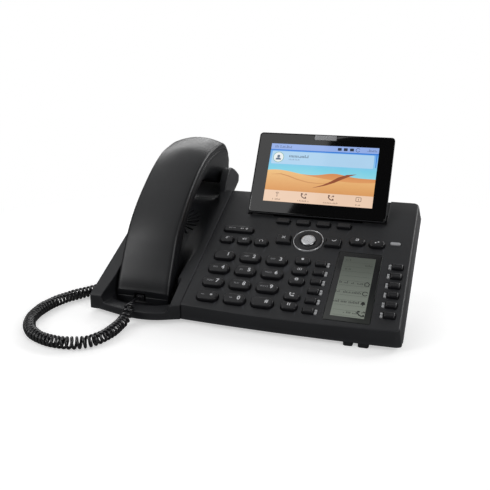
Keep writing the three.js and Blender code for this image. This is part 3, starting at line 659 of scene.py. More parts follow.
def key_levels(top, shoulder):
    """Growth and height of a cap: flared foot below the cover, straight sides, round shoulder."""
    levels = [(0.75, -4.2), (0.75, -3.7), (0.0, -2.95), (0.05, -0.5), (0.0, top - 1.5)]
    levels.append((-0.10, top - 0.9))
    for i in range(1, 6):
        c, s = cos_sin(90 * i / 5)
        levels.append((-0.10 - shoulder * (1 - c), top - shoulder + shoulder * s))
    return levels + [(-0.10 - shoulder - 0.8, top + 0.04), (-0.10 - shoulder - 1.7, top + 0.06)]


def make_key(node, outline, top, x, y, prints, shoulder=0.9, body=None, widest=1.0):
    """A cap with prints [(shapes, material)] laid on it about (x, y), and its opening.

    widest limits the growth of the opening."""
    openings.append((lambda grow: outline(min(grow, widest)), 0.45))
    name = node + "_cap"
    ob = solid(name, [layers(outline, key_levels(top, shoulder))], MAT["key"], crease=40)
    # the prints come after the creases are set, so that these stay on the cap
    cap = ob.data
    verts = [vert.co.copy() for vert in cap.vertices]
    faces = [tuple(face.vertices) for face in cap.polygons]
    sharp = {tuple(sorted(edge.vertices)) for edge in cap.edges if edge.use_edge_sharp}
    index = [0] * len(faces)
    mats = [MAT["key"]]
    for printed, mat in prints:
        tree = BVHTree.FromPolygons(verts, faces)
        mats.append(mat)
        for points, polys in printed:
            first = len(verts)
            for a, b in points:
                hit = tree.ray_cast(panel(x + a, y + b, 12), -PANEL_NORMAL)
                ground = hit[0] or panel(x + a, y + b, 2.5)
                verts.append(ground + PANEL_NORMAL * PRINT_LIFT * MM)
            for poly in polys:
                faces.append(tuple(first + i for i in poly))
                index.append(len(mats) - 1)
    mesh = new_mesh(name, verts, faces, mats, index)
    mesh.polygons.foreach_set("use_smooth", [True] * len(mesh.polygons))
    for edge in mesh.edges:
        if tuple(sorted(edge.vertices)) in sharp:
            edge.use_edge_sharp = True
    ob.data = mesh
    bpy.data.meshes.remove(cap)
    assign(ob, body or node, node)


def icon_key(node, x, y, width, depth, kind, icon_y, shoulder):
    prints = [(shapes(icon(kind), 0, icon_y), MAT["ink"])]
    make_key(node, growing(x, y, width, depth, 3.2), 2.7, x, y, prints, shoulder)


# dial keys: the top left one, and the pitch across and down
DIAL_X, DIAL_Y, DIAL_STEP_X, DIAL_STEP_Y = -27.61, 55.97, 22.38, 15.18
DIAL = [
    ("1", ""), ("2", "ABC"), ("3", "DEF"), ("4", "GHI"), ("5", "JKL"), ("6", "MNO"),
    ("7", "PQRS"), ("8", "TUV"), ("9", "WXYZ"), ("star", ""), ("0", ""), ("hash", ""),
]


def dial_prints(key, letters):
    ink, dim = MAT["ink"], MAT["ink_dim"]
    if key == "star":
        star = []
        for degrees in (0, 60, 120):
            c, s = cos_sin(degrees)
            star += stroke([(-0.9 * c, -0.9 * s), (0.9 * c, 0.9 * s)], 0.5)
        dash = stroke([(-3.6, -0.3), (-1.2, -0.3)], 0.5)
        return [(shapes(star, 3.6, 0.5), ink), (shapes(dash, -1.0, 0.3), dim)]
    if key == "hash":
        return [(text_shapes("#", 4.6, 3.7, 0.35), ink)]
    prints = [(text_shapes(key, 5.2, 3.7, 0.35), ink)]
    if letters:
        letters_x = -2.6 if len(letters) == 3 else -2.2
        prints.append((text_shapes(letters, 2.3, letters_x, 0.1, bold=False), dim))
    elif key == "0":
        prints.append((shapes(stroke([(-3.4, 0), (-1.6, 0)], 0.5)), dim))
    return prints


for i, (key, letters) in enumerate(DIAL):
    x, y = DIAL_X + DIAL_STEP_X * (i % 3), DIAL_Y - DIAL_STEP_Y * (i // 3)
    outline = growing(x, y, 17.6, 9.4, 4.4)
    make_key("dial_key_" + key, outline, 3.1, x, y, dial_prints(key, letters), shoulder=1.1)

for name, x, kind in (("mute", -31.5, "mic"), ("speaker", -16.1, "speaker"), ("headset", -1.1, "headset")):
    icon_key(name + "_key", x, 75.5, 11.8, 7.4, kind, icon_y=0.7, shoulder=0.9)

VOLUME_X, VOLUME_Y = -24.7, 88.8
minus = stroke([(-1.0, 0), (1.0, 0)], 0.5)
louder = shapes(icon("speaker", 0.8), 3.0, 0.1) + shapes(minus, 7.4, 0.1)
louder += shapes(stroke([(0, -1), (0, 1)], 0.5), 7.4, 0.1)
quieter = shapes(icon("speaker", 0.8), -7.6, 0.1) + shapes(minus, -3.8, 0.1)
divider = shapes(stroke([(0, -2.2), (0, 2.2)], 0.35))
make_key(
    "volume_rocker",
    growing(VOLUME_X, VOLUME_Y, 26.6, 6.6, 2.8),
    2.6,
    VOLUME_X,
    VOLUME_Y,
    [(louder, MAT["ink"]), (quieter, MAT["ink_dim"]), (divider, MAT["tick"])],
    body="volume",
)

for name, y, kind in (
    ("message", 58.62, "mail"),
    ("dnd", 47.3, "info"),
    ("menu", 36.3, "gear"),
    ("redial", 20.07, "handset_out"),
    ("hold", 10.17, "hold"),
):
    icon_key(name + "_key", 38.29, y, 12.2, 7.4, kind, icon_y=0.9, shoulder=1.0)

for i in range(4):
    x, y = 11.29 + 17.49 * i, 104.2
    dash = [(shapes(stroke([(-3.2, 0), (3.2, 0)], 0.55), 0, 0.3), MAT["tick"])]
    outline = growing(x, y, 11.4, 5.4, 1.3)
    make_key("soft_key_%d" % (i + 1), outline, 2.4, x, y, dash, shoulder=0.7)

icon_key("directory_key", 77.5, 86.6, 12.2, 7.6, "book", icon_y=0.8, shoulder=1.0)
icon_key("transfer_key", 93.5, 85.7, 12.2, 7.6, "arrows", icon_y=0.8, shoulder=1.0)

NAV_X, NAV_Y, NAV_RADIUS = 37.5, 83.47, 12.6  # navigation ring and its opening


def beside_ring(x, y, side, steps=14):
    """Outline of a key hollowed to follow the ring; side is 1 on its left, -1 on its right."""

    def outline(grow):
        points = []
        radius = NAV_RADIUS + 2.6 - grow
        for i in range(steps + 1):
            offset = -4.6 - grow + (9.2 + 2 * grow) * i / steps
            rise = y + offset - NAV_Y
            reach = math.sqrt(radius * radius - rise * rise)
            points.append((NAV_X - side * reach, y + offset))
        far = x - side * (6 + grow)
        corner = 1.5
        turns = [cos_sin(90 * i / steps) for i in range(steps + 1)]
        for c, s in turns:
            points.append((far + side * corner * (1 - s), y + 4.6 + grow - corner * (1 - c)))
        for c, s in turns:
            points.append((far + side * corner * (1 - c), y - 4.6 - grow + corner * (1 - s)))
        return points if side > 0 else points[::-1]

    return outline


for node, x, y, side, kind, icon_x in (
    ("cancel_key", 17.1, 81.7, 1, "cross", -0.3),
    ("confirm_key", 58.7, 83.0, -1, "check", 0.4),
):
    prints = [(shapes(icon(kind), icon_x, 1.0), MAT["ink"])]
    make_key(node, beside_ring(x, y, side), 2.8, x, y, prints, widest=0.7)

# line keys: six on each side of the label display, each with a lamp on its inner side
LINE_WIDTH, LINE_DEPTH, LINE_STEP, LAMP_REACH = 8.4, 5.2, 9.87, 5.75
LINE_LEVELS = [  # ((growth across, growth up the slope), height)
    ((0.25, 0.6), -4.2), ((0.25, 0.6), -3.7), ((0, 0), -2.95), ((0, 0), 0.6),
    ((-0.25, -0.2), 1.6), ((-0.5, -0.45), 2.05), ((-0.85, -0.85), 2.35),
    ((-1.2, -1.3), 2.4), ((-2.0, -2.0), 2.3),
]


def line_key(node, x, y):
    def outline(grow):
        return rrect(x, y, LINE_WIDTH + 2 * grow[0], LINE_DEPTH + 2 * grow[1], 0.9, 5)

    ob = solid(node + "_cap", [layers(outline, LINE_LEVELS)], MAT["key"], crease=40)
    assign(ob, node, node)


lamps = []
for i in range(6):
    for name, x, top_y, side in (("left", 53.36, 57.97, 1), ("right", 112.51, 62.78, -1)):
        y = top_y - LINE_STEP * i
        line_key("line_key_%s_%d" % (name, i + 1), x, y)
        lamps.append((x + side * LAMP_REACH, y))

# lamp windows on their comb, with one longer window at the top right
INDICATOR = growing(107.7, 89.2, 8.0, 3.2, 1.5, 6)
lamp_columns = (lamps[0][0], lamps[1][0])
blocks = []
for x, y in lamps:
    for side in (-1, 1):
        outline = growing(x, y + side * 1.24, 2.1, 2.2, 0.35, 3, keep_radius=True)
        blocks.append(layers(outline, [(0, -6.0), (0, 0.15), (-0.12, 0.33), (-0.35, 0.42)]))
    blocks.append(layers(growing(x, y, 1.9, 4.6, 0.2, 2), [(0, -6.8), (0, -0.1)]))
for x, y, width, depth in (
    (lamp_columns[0], 35, 2, 62),
    (lamp_columns[1], 35, 2, 62),
    (82.9, 35.5, 49.4, 3),
    (lamp_columns[1], 75.1, 2, 30.2),
):
    blocks.append(layers(growing(x, y, width, depth, 0.3, 2), [(0, -7.2), (0, -5.9)]))
blocks.append(layers(INDICATOR, [(0, -7), (0, 0.3), (-0.2, 0.5), (-0.6, 0.58)]))
assign(solid("lamp_windows", blocks, MAT["window"]), "base", "light_guide")

# ------------------------------------------------------------------ navigation ring and its keys
# profiles as (radius, height)
RING_PROFILE = [
    (11.85, -2.2), (12.55, -2.2), (12.6, 0.7), (12.5, 0.98), (12.25, 1.12), (12.0, 1.05), (11.85, 0.8),
]
ROCKER_PROFILE = [
    (6.5, -3.4), (11.45, -3.4), (11.45, 0.5), (11.2, 0.9), (10.6, 1.12),
    (9.0, 1.05), (7.6, 0.85), (6.9, 0.7), (6.5, 0.3),
]
CENTRE_PROFILE = [
    (6.1, -4.6), (6.1, 1.0), (6.0, 1.35), (5.7, 1.6), (5.2, 1.72), (3.6, 1.66), (1.8, 1.6),
]


def nav_circle(steps):
    return lambda radius: circle(NAV_X, NAV_Y, radius, steps)


def revolve(name, profile, mat, crease, steps=96):
    """A closed profile turned about the ring's axis."""
    rings = layers(nav_circle(steps), profile)
    faces = []
    for a in range(len(rings)):
        b = (a + 1) % len(rings)
        for i in range(steps):
            j = (i + 1) % steps
            faces.append((a * steps + i, a * steps + j, b * steps + j, b * steps + i))
    return build(name, [p for ring in rings for p in ring], faces, [mat], crease)


ob = revolve("nav_trim_ring", RING_PROFILE, MAT["chrome"], crease=50)
assign(ob, "base", "nav_ring")
ob = revolve("nav_rocker_collar", ROCKER_PROFILE, MAT["key"], crease=40)
assign(ob, "navigation", "nav_rocker")
ob = solid("centre_key_cap", [layers(nav_circle(64), CENTRE_PROFILE)], MAT["brushed"], crease=45)
assign(ob, "nav_ok_key", "nav_ok_key")

# ------------------------------------------------------------------ label display
LABEL_X, LABEL_Y, LABEL_WIDTH, LABEL_DEPTH = 82.5, 39.0, 35.0, 72.0
outline = growing(
    LABEL_X, LABEL_Y, LABEL_WIDTH - 0.6, LABEL_DEPTH - 0.6, 0.8, 5, keep_radius=True
)
window_levels = [(-2, -5.2), (0, -5.0), (0, -0.05), (-0.15, 0.08), (-0.4, 0.12)]
ob = solid("label_window", [layers(outline, window_levels)], MAT["lcd_frame"])
assign(ob, "base", "key_display")


def label_picture():
    sheet = Sheet(panel, 0.14)
    ink = MAT["lcd_ink"]
    left, right, low, high = 82.53 - 12.55, 82.53 + 12.55, 38.66 - 31.01, 38.66 + 31.01
    sheet.rect(left, low, right, high, MAT["lcd"])
    for k in range(12):
        y = low + 1.2 + k * (high - low - 2) / 12
        sheet.polys(stroke([(left + 1.2, y), (right - 1.2, y)], 0.14), ink, lift=0.02)
    sheet.words(left + 2.2, high - 4.2, 5, 1.8, ink, 0.02, seed=3)
    sheet.words(right - 1.4, high - 9.0, 6, 1.8, ink, 0.02, seed=5, right=True)
    sheet.words(left + 1.8, high - 14.2, 6, 1.8, ink, 0.02, seed=7)
    rows = ((28.8, 16, "house"), (38.6, 22, "ring"), (48.4, 17, "bell"), (58.4, 9, "handset_out"))
    for k, (down, count, kind) in enumerate(rows):
        y = high - down
        sheet.words(right - 5.6, y, count, 2.1, ink, 0.02, seed=11 + k, right=True)
        sheet.polys(icon(kind, 1.5), ink, right - 2.9, y + 0.9, 0.02)
    return sheet.make("label_picture")


assign(label_picture(), "base")

# small printed ticks between the lamps and the label window
sheet = Sheet(panel, 0.03)
for x, y in lamps:
    start, end = (61.2, 63.6) if x < 80 else (101.4, 104.6)
    sheet.polys(stroke([(start, y + 0.2), (end, y + 0.2)], 0.28), MAT["tick"])
assign(sheet.make("panel_ticks"), "base")

# ------------------------------------------------------------------ screen unit
SHELL_DEPTH = 9.2
SHELL_LEVELS = [  # ((growth, corner radius), height): a bowl with a rim that the glass sits in
    ((-6.5, 3.0), -SHELL_DEPTH), ((-3.6, 3.0), -SHELL_DEPTH + 0.05),
    ((-1.6, 3.2), -SHELL_DEPTH + 0.5), ((-0.3, 3.4), -SHELL_DEPTH + 1.5),
    ((0.45, 3.4), -SHELL_DEPTH + 3.0), ((0.85, 3.4), -4.0), ((1.1, 3.2), -1.2),
    ((1.1, 3.1), -0.5), ((0.95, 3.0), -0.25), ((0.62, 2.7), -0.15), ((0.45, 2.5), -0.3),
    ((0.3, 2.3), -2.0), ((-6, 2.0), -2.0), ((-6, 2.0), -5.4),
]
ARM = [  # (y, z) on the panel
    (117.6, -1.2), (131.5, 7.3), (129.6, -1.0), (128, -6.5),
    (126.6, -10.3), (124, -11.4), (121.4, -10.3), (120.5, -8),
]
ARM_WIDTH = 9
HINGE_Y, HINGE_Z = 124, -8


def screen_frame(shape):
    """Outline of the glass for (growth, corner radius)."""
    grow, radius = shape
    width, depth = 2 * (SCREEN_HALF + grow), SCREEN_HIGH - SCREEN_LOW + 2 * grow
    return rrect(0, (SCREEN_HIGH + SCREEN_LOW) / 2, width, depth, radius)


shell = solid(
    "screen_back_shell", [layers(screen_frame, SHELL_LEVELS, screen)], MAT["body"], crease=35
)
for x in (12, 55):
    rings = [[panel(end, y, z) for y, z in ARM] for end in (x, x + ARM_WIDTH)]
    ob = solid("screen_arm_%d" % x, [rings], MAT["body"])
    bevel = ob.modifiers.new("e", "BEVEL")
    bevel.width = 0.8 * MM
    bevel.segments = 3
    bake(ob)
    sharpen(ob.data, 35)
    assign(ob, "screen_unit")
for name, radius, left, right, mat in (
    ("screen_barrel", 3.5, 7.6, 68.4, "body"),
    ("screen_journal", 2.2, 1.2, 74.8, "cone"),
):
    chamfer = 0.35
    profile = [
        (radius - chamfer, left), (radius, left + chamfer),
        (radius, right - chamfer), (radius - chamfer, right),
    ]
    rings = [[panel(x, y, z) for y, z in circle(HINGE_Y, HINGE_Z, r, 40)] for r, x in profile]
    assign(solid(name, [rings], MAT[mat], crease=35), "screen_unit")
# nine slots in the back of the shell
slot_levels = [(0, -SHELL_DEPTH - 1), (0, -SHELL_DEPTH + 1.2)]
slots = [growing(-24 + i * 6, 20, 2.2, 12, 1.05, 6) for i in range(9)]
boolean(shell, *[cutter(layers(slot, slot_levels, screen)) for slot in slots])
sharpen(shell.data, 35)
assign(shell, "screen_unit", "screen_housing")

# glass: black bordered sheet with a notch for the message lamp
glass_levels = [((0, 2.0), -1.5), ((0, 2.0), -0.18), ((-0.1, 2.0), -0.04), ((-0.25, 2.0), 0.0)]
glass = solid("screen_face_glass", [layers(screen_frame, glass_levels, screen)], MAT["glass"])
notch = growing(0, 35.6, 20.1, 8.0, 0.5, 4)
boolean(glass, cutter(layers(notch, [(0, -3), (0, 2)], screen)))
sharpen(glass.data, 35)
assign(glass, "screen_unit", "screen_glass")
lens = growing(0, 34.15, 19.5, 4.5, 0.6, 5, keep_radius=True)
lens_levels = [(0, -2.9), (0, -0.1), (-0.12, 0.1), (-0.35, 0.18)]
ob = solid("message_lamp_lens", [layers(lens, lens_levels, screen)], MAT["window"])
assign(ob, "screen_unit", "message_lamp")

# ------------------------------------------------------------------ picture on the display
HALF_WIDTH, HALF_HEIGHT = 47.52, 26.93


def glow(shader, colour, strength, rough, specular):
    """Its own light, with the reflection of the glass over it."""
    shader.set({
        "Base Color": (0, 0, 0, 1),
        "Emission Color": colour,
        "Emission Strength": strength,
        "Roughness": rough,
        "Specular IOR Level": specular,
    })
    return shader.material


def lit(name, colour, vary=0.04, strength=0.97):
    shader = Shader(name)
    spots = shader.noise(scale=60, detail=2)
    colour = shader.mix(spots, shade(colour, 1 - vary), shade(colour, 1 + vary))
    rough = shader.scaled(shader.noise(scale=900, detail=2), gain=0.04, offset=0.06)
    return glow(shader, colour, strength, rough, specular=0.6)


def landscape(name, low, high, stops, grain, amount, tint):
    """Colours graded between two heights on the screen, with some grain of a tint."""
    shader = Shader(name)
    rise = shader.gradient(2, screen(0, low, 0).z, screen(0, high, 0).z)
    colour = shader.ramp(rise, stops)
    colour = shader.mix(shader.math("MULTIPLY", shader.noise(**grain), amount), colour, tint)
    return glow(shader, colour, strength=1.0, rough=0.08, specular=0.35)


def ground(name, top, bottom, low, high):
    grain = {"scale": 260, "detail": 4, "stretch": (1, 3, 3)}
    stops = [(0.0, bottom), (1.0, top)]
    return landscape(name, low, high, stops, grain, 0.25, tint=shade(bottom, 0.8))


LIT = {
    "bar": lit("picture_bar", srgb(150, 176, 232)),
    "line": lit("picture_line", srgb(52, 122, 214)),
    "card": lit("picture_card", srgb(176, 212, 240)),
    "dark": lit("picture_ink", srgb(52, 58, 72), strength=1.0),
    "grey": lit("picture_ink_grey", srgb(120, 134, 160)),
    "slate": lit("picture_ink_slate", srgb(92, 106, 140)),
    "ridge": lit("picture_ridge", srgb(150, 84, 58), vary=0.15),
    "shade": lit("picture_shade", srgb(206, 146, 92), vary=0.1),
    "foot": lit("picture_foot", srgb(238, 206, 180)),
    "ink": lit("picture_foot_ink", srgb(104, 78, 70)),
    "face": lit("picture_round", srgb(236, 240, 240)),
    "rim": lit("picture_round_rim", srgb(110, 170, 150)),
    "figure": lit("picture_round_figure", srgb(96, 112, 132)),
    "sky": landscape(
        "picture_sky",
        -8,
        24,
        [
            (0.0, srgb(150, 222, 226)),
            (0.42, srgb(118, 205, 228)),
            (0.6, srgb(128, 190, 238)),
            (1.0, srgb(84, 152, 232)),
        ],
        {"scale": 90, "detail": 3},
        0.15,
        tint=srgb(200, 226, 240),
    ),
    "far": ground("picture_ground_far", srgb(206, 128, 78), srgb(226, 160, 104), -6, 6),
    "mid": ground("picture_ground_mid", srgb(244, 200, 138), srgb(222, 158, 98), -16, 4),
    "near": ground("picture_ground_near", srgb(238, 186, 122), srgb(214, 148, 92), -20, -4),
}


def bell_curve(x, middle, spread):
    return math.exp(-(((x - middle) / spread) ** 2))


def far_hills(x):
    return -1.4 + 3.0 * bell_curve(x, 12, 13) + 1.6 * bell_curve(x, -28, 16)


def middle_hills(x):
    return -3.6 + 5.2 * bell_curve(x, -44, 24) - 1.8 * math.cos((x - 30) / 17)


def near_hills(x):
    return -11.5 + 4.2 * math.sin((x + 6) / 21) + 1.5 * math.cos(x / 11)


# crests as (x, y, width of the band)
RIDGE = [(31, 2.0, 0.2), (26, 0.2, 2.0), (20, -2.8, 2.6), (13, -6.6, 2.0), (5, -9.8, 1.2), (-5, -12.4, 0.2)]
SHADE = [
    (-44, -2.0, 0.1), (-35, -0.9, 0.8), (-28, -2.4, 1.0), (-20, -5.0, 1.0),
    (-10, -7.2, 0.9), (0, -7.8, 0.6), (8, -7.0, 0.1),
]


def draw_landscape(sheet):
    bottom, steps = -17, 60
    sheet.rect(-HALF_WIDTH, bottom, HALF_WIDTH, HALF_HEIGHT, LIT["sky"])
    for height, mat, lift in (
        (far_hills, "far", 0.02), (middle_hills, "mid", 0.04), (near_hills, "near", 0.06),
    ):
        for i in range(steps):
            x0 = -HALF_WIDTH + 2 * HALF_WIDTH * i / steps
            x1 = -HALF_WIDTH + 2 * HALF_WIDTH * (i + 1) / steps
            quad = [(x0, bottom), (x1, bottom), (x1, height(x1)), (x0, height(x0))]
            sheet.poly(quad, LIT[mat], lift)
    for (x0, y0, w0), (x1, y1, w1) in zip(RIDGE, RIDGE[1:]):
        outer = [(x0 - 1.6 * w0, y0 + 0.5 * w0), (x1 - 1.6 * w1, y1 + 0.5 * w1)]
        sheet.poly([(x1, y1), (x0, y0)] + outer, LIT["ridge"], 0.07)
    for (x0, y0, w0), (x1, y1, w1) in zip(SHADE, SHADE[1:]):
        sheet.poly([(x0, y0 - w0), (x1, y1 - w1), (x1, y1), (x0, y0)], LIT["shade"], 0.07)


def draw_interface(sheet):
    """Top bar, card with a round portrait, and a foot bar with four signs."""
    slate = LIT["slate"]
    sheet.rect(-HALF_WIDTH, 21.6, HALF_WIDTH, HALF_HEIGHT, LIT["bar"], 0.03)
    sheet.rect(-HALF_WIDTH, 20.6, HALF_WIDTH, 21.6, LIT["line"], 0.05)
    sheet.poly(rrect(-0.7, 14.0, 90.0, 12.0, 0.9, 4), LIT["card"], 0.07)
    sheet.rect(HALF_WIDTH - 1.6, 9.0, HALF_WIDTH - 0.9, 20.6, LIT["line"], 0.05)
    sheet.words(-45.4, 23.2, 14, 2.2, slate, 0.06, seed=21)
    for x in (13.8, 19.0, 24.4):
        sheet.polys(icon("box", 1.3), LIT["dark"], x, 24.2, 0.06)
    sheet.polys(icon("ring", 1.3), slate, 29.6, 24.2, 0.06)
    sheet.words(46.3, 23.2, 7, 2.2, slate, 0.06, seed=23, right=True)
    sheet.poly(circle(-39.6, 14.2, 4.9, 40), LIT["rim"], 0.09)
    sheet.poly(circle(-39.6, 14.2, 4.45, 40), LIT["face"], 0.10)
    sheet.polys(icon("person", 1.55), LIT["figure"], -39.6, 13.9, 0.115)
    sheet.words(-30.0, 14.6, 14, 2.3, LIT["dark"], 0.10, seed=25)
    sheet.words(-30.0, 12.0, 16, 1.2, LIT["grey"], 0.10, seed=27)
    sheet.rect(-HALF_WIDTH, -HALF_HEIGHT, HALF_WIDTH, -16.6, LIT["foot"], 0.09)
    for x, kind, count in (
        (-35.6, "bars", 10), (-11.8, "handset_out", 14), (12.0, "handset_out", 18), (35.4, "note", 6),
    ):
        sheet.polys(icon(kind, 1.35), LIT["ink"], x, -20.2, 0.11)
        sheet.words(x - count * 0.36, -25.4, count, 1.3, LIT["ink"], 0.11, seed=31 + count)


sheet = Sheet(screen, 0.03)
draw_landscape(sheet)
draw_interface(sheet)
assign(sheet.make("display_picture"), "screen_unit", "main_display")

# ------------------------------------------------------------------ key cover
WALL, ROOF = 2.2, 2.4
SKIRT = -13.7  # plane under the back of the covers, off the panel
COVER_LEFT = SEAM_X + 0.15
SEAM_EDGE, TOP_EDGE, CORNER, BACK_CORNER = 0.3, 1.3, 4.5, 5  # radii


def hollow(front, left, right):
    """Room under a cover, from level depth front to the back wall."""
    points = [
        (front, -8),
        (front, line_z(front, -ROOF)),
        to_level(BACK_Y - WALL, -ROOF),
        to_level(BACK_Y - WALL, -30),
    ]
    return side_prism(points, left + WALL, right - WALL, level)


def cover_column(x):
    """Side profile of the outer skin at x, from the front foot over the top to the back foot."""
    inward = RIGHT_X - x
    drop = round_drop(SEAM_EDGE, x - COVER_LEFT) if x < COVER_LEFT + SEAM_EDGE else 0
    if inward < TOP_EDGE:
        drop = round_drop(TOP_EDGE, inward)
    middle = (SEAM_X + RIGHT_X) / 2
    front = -2.2 * (1 - ((min(x, RIGHT_X - CORNER) - middle) / 84) ** 2)
    front += round_drop(CORNER, min(CORNER, inward + 0.35))
    back = BACK_Y - round_drop(BACK_CORNER, min(BACK_CORNER, inward + 0.3))
    lean = max(0.0, min(1.0, (x - (RIGHT_X - 12)) / 12)) ** 1.5

    def at(y, z):
        off = -y * SIN + (z - FRONT_Z) * COS
        return level(x + FLARE * max(0, -off) * lean, y, z)

    column = [at(front, FLOOR_Z), at(front, FLOOR_Z + 5)]
    top_z = line_z(front + TOP_EDGE, -drop)
    for i in range(7):
        c, s = cos_sin(15 * i)
        y = front + TOP_EDGE * (1 - c)
        column.append(at(y, top_z - (1 - s) * TOP_EDGE + (y - front - TOP_EDGE) * 0.3 * s))
    start = (front + TOP_EDGE + drop * SIN) / COS + 2
    for t in (0.1, 0.3, 0.6, 0.9):
        column.append(at(*to_level(start + (back - 3 - start) * t, -drop)))
    for i in range(6):
        c, s = cos_sin(18 * i)
        column.append(at(*to_level(back - 1 + s, -drop - 1 + c)))
    return column + [at(*to_level(back, SKIRT)), at(y_at(FLOOR_Z, SKIRT), FLOOR_Z)]


def cover_stations():
    """Places across the cover, closer together at its rounded sides."""
    left, right = COVER_LEFT + SEAM_EDGE, RIGHT_X - 12
    xs = [COVER_LEFT + SEAM_EDGE * (1 - cos_sin(30 * i)[0]) for i in range(4)]
    xs += [left + (right - COVER_LEFT - SEAM_EDGE) * i / 24 for i in range(1, 25)]
    xs += [right + (12 - CORNER) * i / 4 for i in range(1, 5)]
    xs += [RIGHT_X - CORNER + (CORNER - TOP_EDGE) * i / 5 for i in range(1, 6)]
    return xs + [RIGHT_X - TOP_EDGE + TOP_EDGE * cos_sin(90 * i / 9)[1] for i in range(1, 10)]


def opening_levels(radius):
    """Growth and height of an opening with a rounded rim."""
    levels = [(0.35, -12), (0.35, -radius)]
    levels += [(0.35 + round_drop(radius, radius * t), -radius * t) for t in (0.6, 0.3, 0.12, 0.02)]
    return levels + [(0.35 + radius * 0.95, 0.03), (0.35 + radius, 0.5), (0.35 + radius, 7)]


def finish_cover(ob, node, crease):
    ob.data.materials.clear()
    ob.data.materials.append(MAT["body"])
    ob.data.polygons.foreach_set("material_index", [0] * len(ob.data.polygons))
    sharpen(ob.data, crease)
    assign(ob, "base", node)


cover = solid("key_cover_shell", [[cover_column(x) for x in cover_stations()]], MAT["body"])
inner = hollow(-6, COVER_LEFT, RIGHT_X)
boolean(inner, box(COVER_LEFT + 1, RIGHT_X, 1.4, 160, -20, 140, level), op="INTERSECT")
boolean(cover, inner)

# shallow recess behind the soft keys, open to the back, where the screen unit stands
BAY_LEFT, BAY_RIGHT, BAY_FRONT = -23.3, 97.75, 110.8
bay_back = BACK_Y + 10
bay_block = box(BAY_LEFT - 2, BAY_RIGHT + 2, BAY_FRONT - 1.6, BACK_Y - 2, -13.6, -1.0)
boolean(cover, bay_block, op="UNION")
bay = growing(
    (BAY_LEFT + BAY_RIGHT) / 2,
    (BAY_FRONT + bay_back) / 2,
    BAY_RIGHT - BAY_LEFT,
    bay_back - BAY_FRONT,
    1.2,
    4,
)
bay_levels = [(0, -1.6), (0, -0.35), (0.08, -0.12), (0.35, 0.03), (0.5, 6)]
boolean(cover, cutter(layers(bay, bay_levels)))
for bounds in (
    (BAY_LEFT + 0.6, BAY_RIGHT - 0.6, BAY_FRONT + 0.5, 124.6, -5.6, 2),
    (-2, 78, BAY_FRONT + 0.6, 135.3, -30, 2),
    (-4, 80, 137.5, BACK_Y - ROOF, -30, -4),
    (BAY_LEFT + 1, -4.2, BAY_FRONT + 1, BACK_Y - ROOF, -30, -8),
    (80.2, BAY_RIGHT - 1, BAY_FRONT + 1, BACK_Y - ROOF, -30, -8),
):
    boolean(cover, box(*bounds))

openings += [
    (lambda grow: circle(NAV_X, NAV_Y, NAV_RADIUS + grow, 72), 0.3),
    (INDICATOR, 0.25),
    (growing(LABEL_X, LABEL_Y, LABEL_WIDTH - 0.7, LABEL_DEPTH - 0.7, 0.8, 5), 0.3),
]
for x, y in lamps:  # one opening for a line key and its lamp
    side = 1 if x < 80 else -1
    start = x - side * LAMP_REACH - side * LINE_WIDTH / 2
    end = x + side * 1.0
    openings.append((growing((start + end) / 2, y, abs(end - start), LINE_DEPTH, 0.7, 4), 0.3))
boolean(cover, cutter(*[layers(outline, opening_levels(r)) for outline, r in openings]))
finish_cover(cover, "key_cover", crease=28)


# ------------------------------------------------------------------ CAD nodes kept as they are
def dress(node, mat, bevel=0.0, segments=0):
    """Gives a CAD node a material and, with a bevel in mm, merged flats and soft edges."""
    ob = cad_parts[node]
    ob.data.materials.clear()
    ob.data.materials.append(mat)
    ob.data.polygons.foreach_set("use_smooth", [True] * len(ob.data.polygons))
    weld = ob.modifiers.new("weld", "WELD")
    weld.merge_threshold = 0.00001
    if bevel:
        flat = ob.modifiers.new("flat", "DECIMATE")
        flat.decimate_type = "DISSOLVE"
        flat.angle_limit = math.radians(0.6)
        edge = ob.modifiers.new("edge", "BEVEL")
        edge.width = bevel * MM
        edge.segments = segments
        edge.limit_method = "ANGLE"
        edge.angle_limit = math.radians(35)
        edge.use_clamp_overlap = False
        edge.miter_outer = "MITER_ARC"


dress("bottom_cover", MAT["body"], bevel=0.3, segments=2)
dress("foot_stand", MAT["body"], bevel=0.7, segments=3)
dress("hook_lever", MAT["key"], bevel=0.3, segments=2)
dress("circuit_board", MAT["board"], bevel=0.1, segments=1)
dress("loudspeaker", MAT["cone"])

# ------------------------------------------------------------------ cradle cover
CRADLE_RIGHT = SEAM_X - 0.15
LIP = [  # front edge seen from above, as level (x, y)
    (-126.95, 0.4), (-126.7, -0.5), (-126.1, -1.2), (-125.0, -1.6), (-122.5, -1.7), (-118, -1.55),
    (-115.2, -2.4), (-106.5, -5), (-97.7, -7.5), (-89, -9.6), (-81, -10.8), (-73, -10.6),
    (-64, -8.9), (-55, -4.9), (-50, -2.4), (-46.8, -1.0),
]
lip_curve, _ = catmull(LIP, 400)
LEDGE_Z = 9.6
BANK = [  # foot of a post down to the ledge, as (x from the bank line, z)
    (-3.45, 13.6), (-3.2, 12.9), (-2.9, 12.1), (-2.5, 11.3),
    (-2.0, 10.6), (-1.4, 10.1), (-0.7, 9.73), (0.1, 9.6),
]
LEDGE_STEPS = (0.04, 0.12, 0.2, 0.28, 0.36, 0.44, 0.52, 0.6, 0.68, 0.76, 0.84, 0.92, 0.97)
LEFT_COLUMNS, SEAM_COLUMNS = 7, 4  # columns on the rounded left edge and at the seam
LEDGE_BACK = 23.0


def left_flare(y):
    return float(np.interp(y, [-4, 1, 8, 20, 30], [-1.9, -1.9, -1.2, -0.4, 0]))


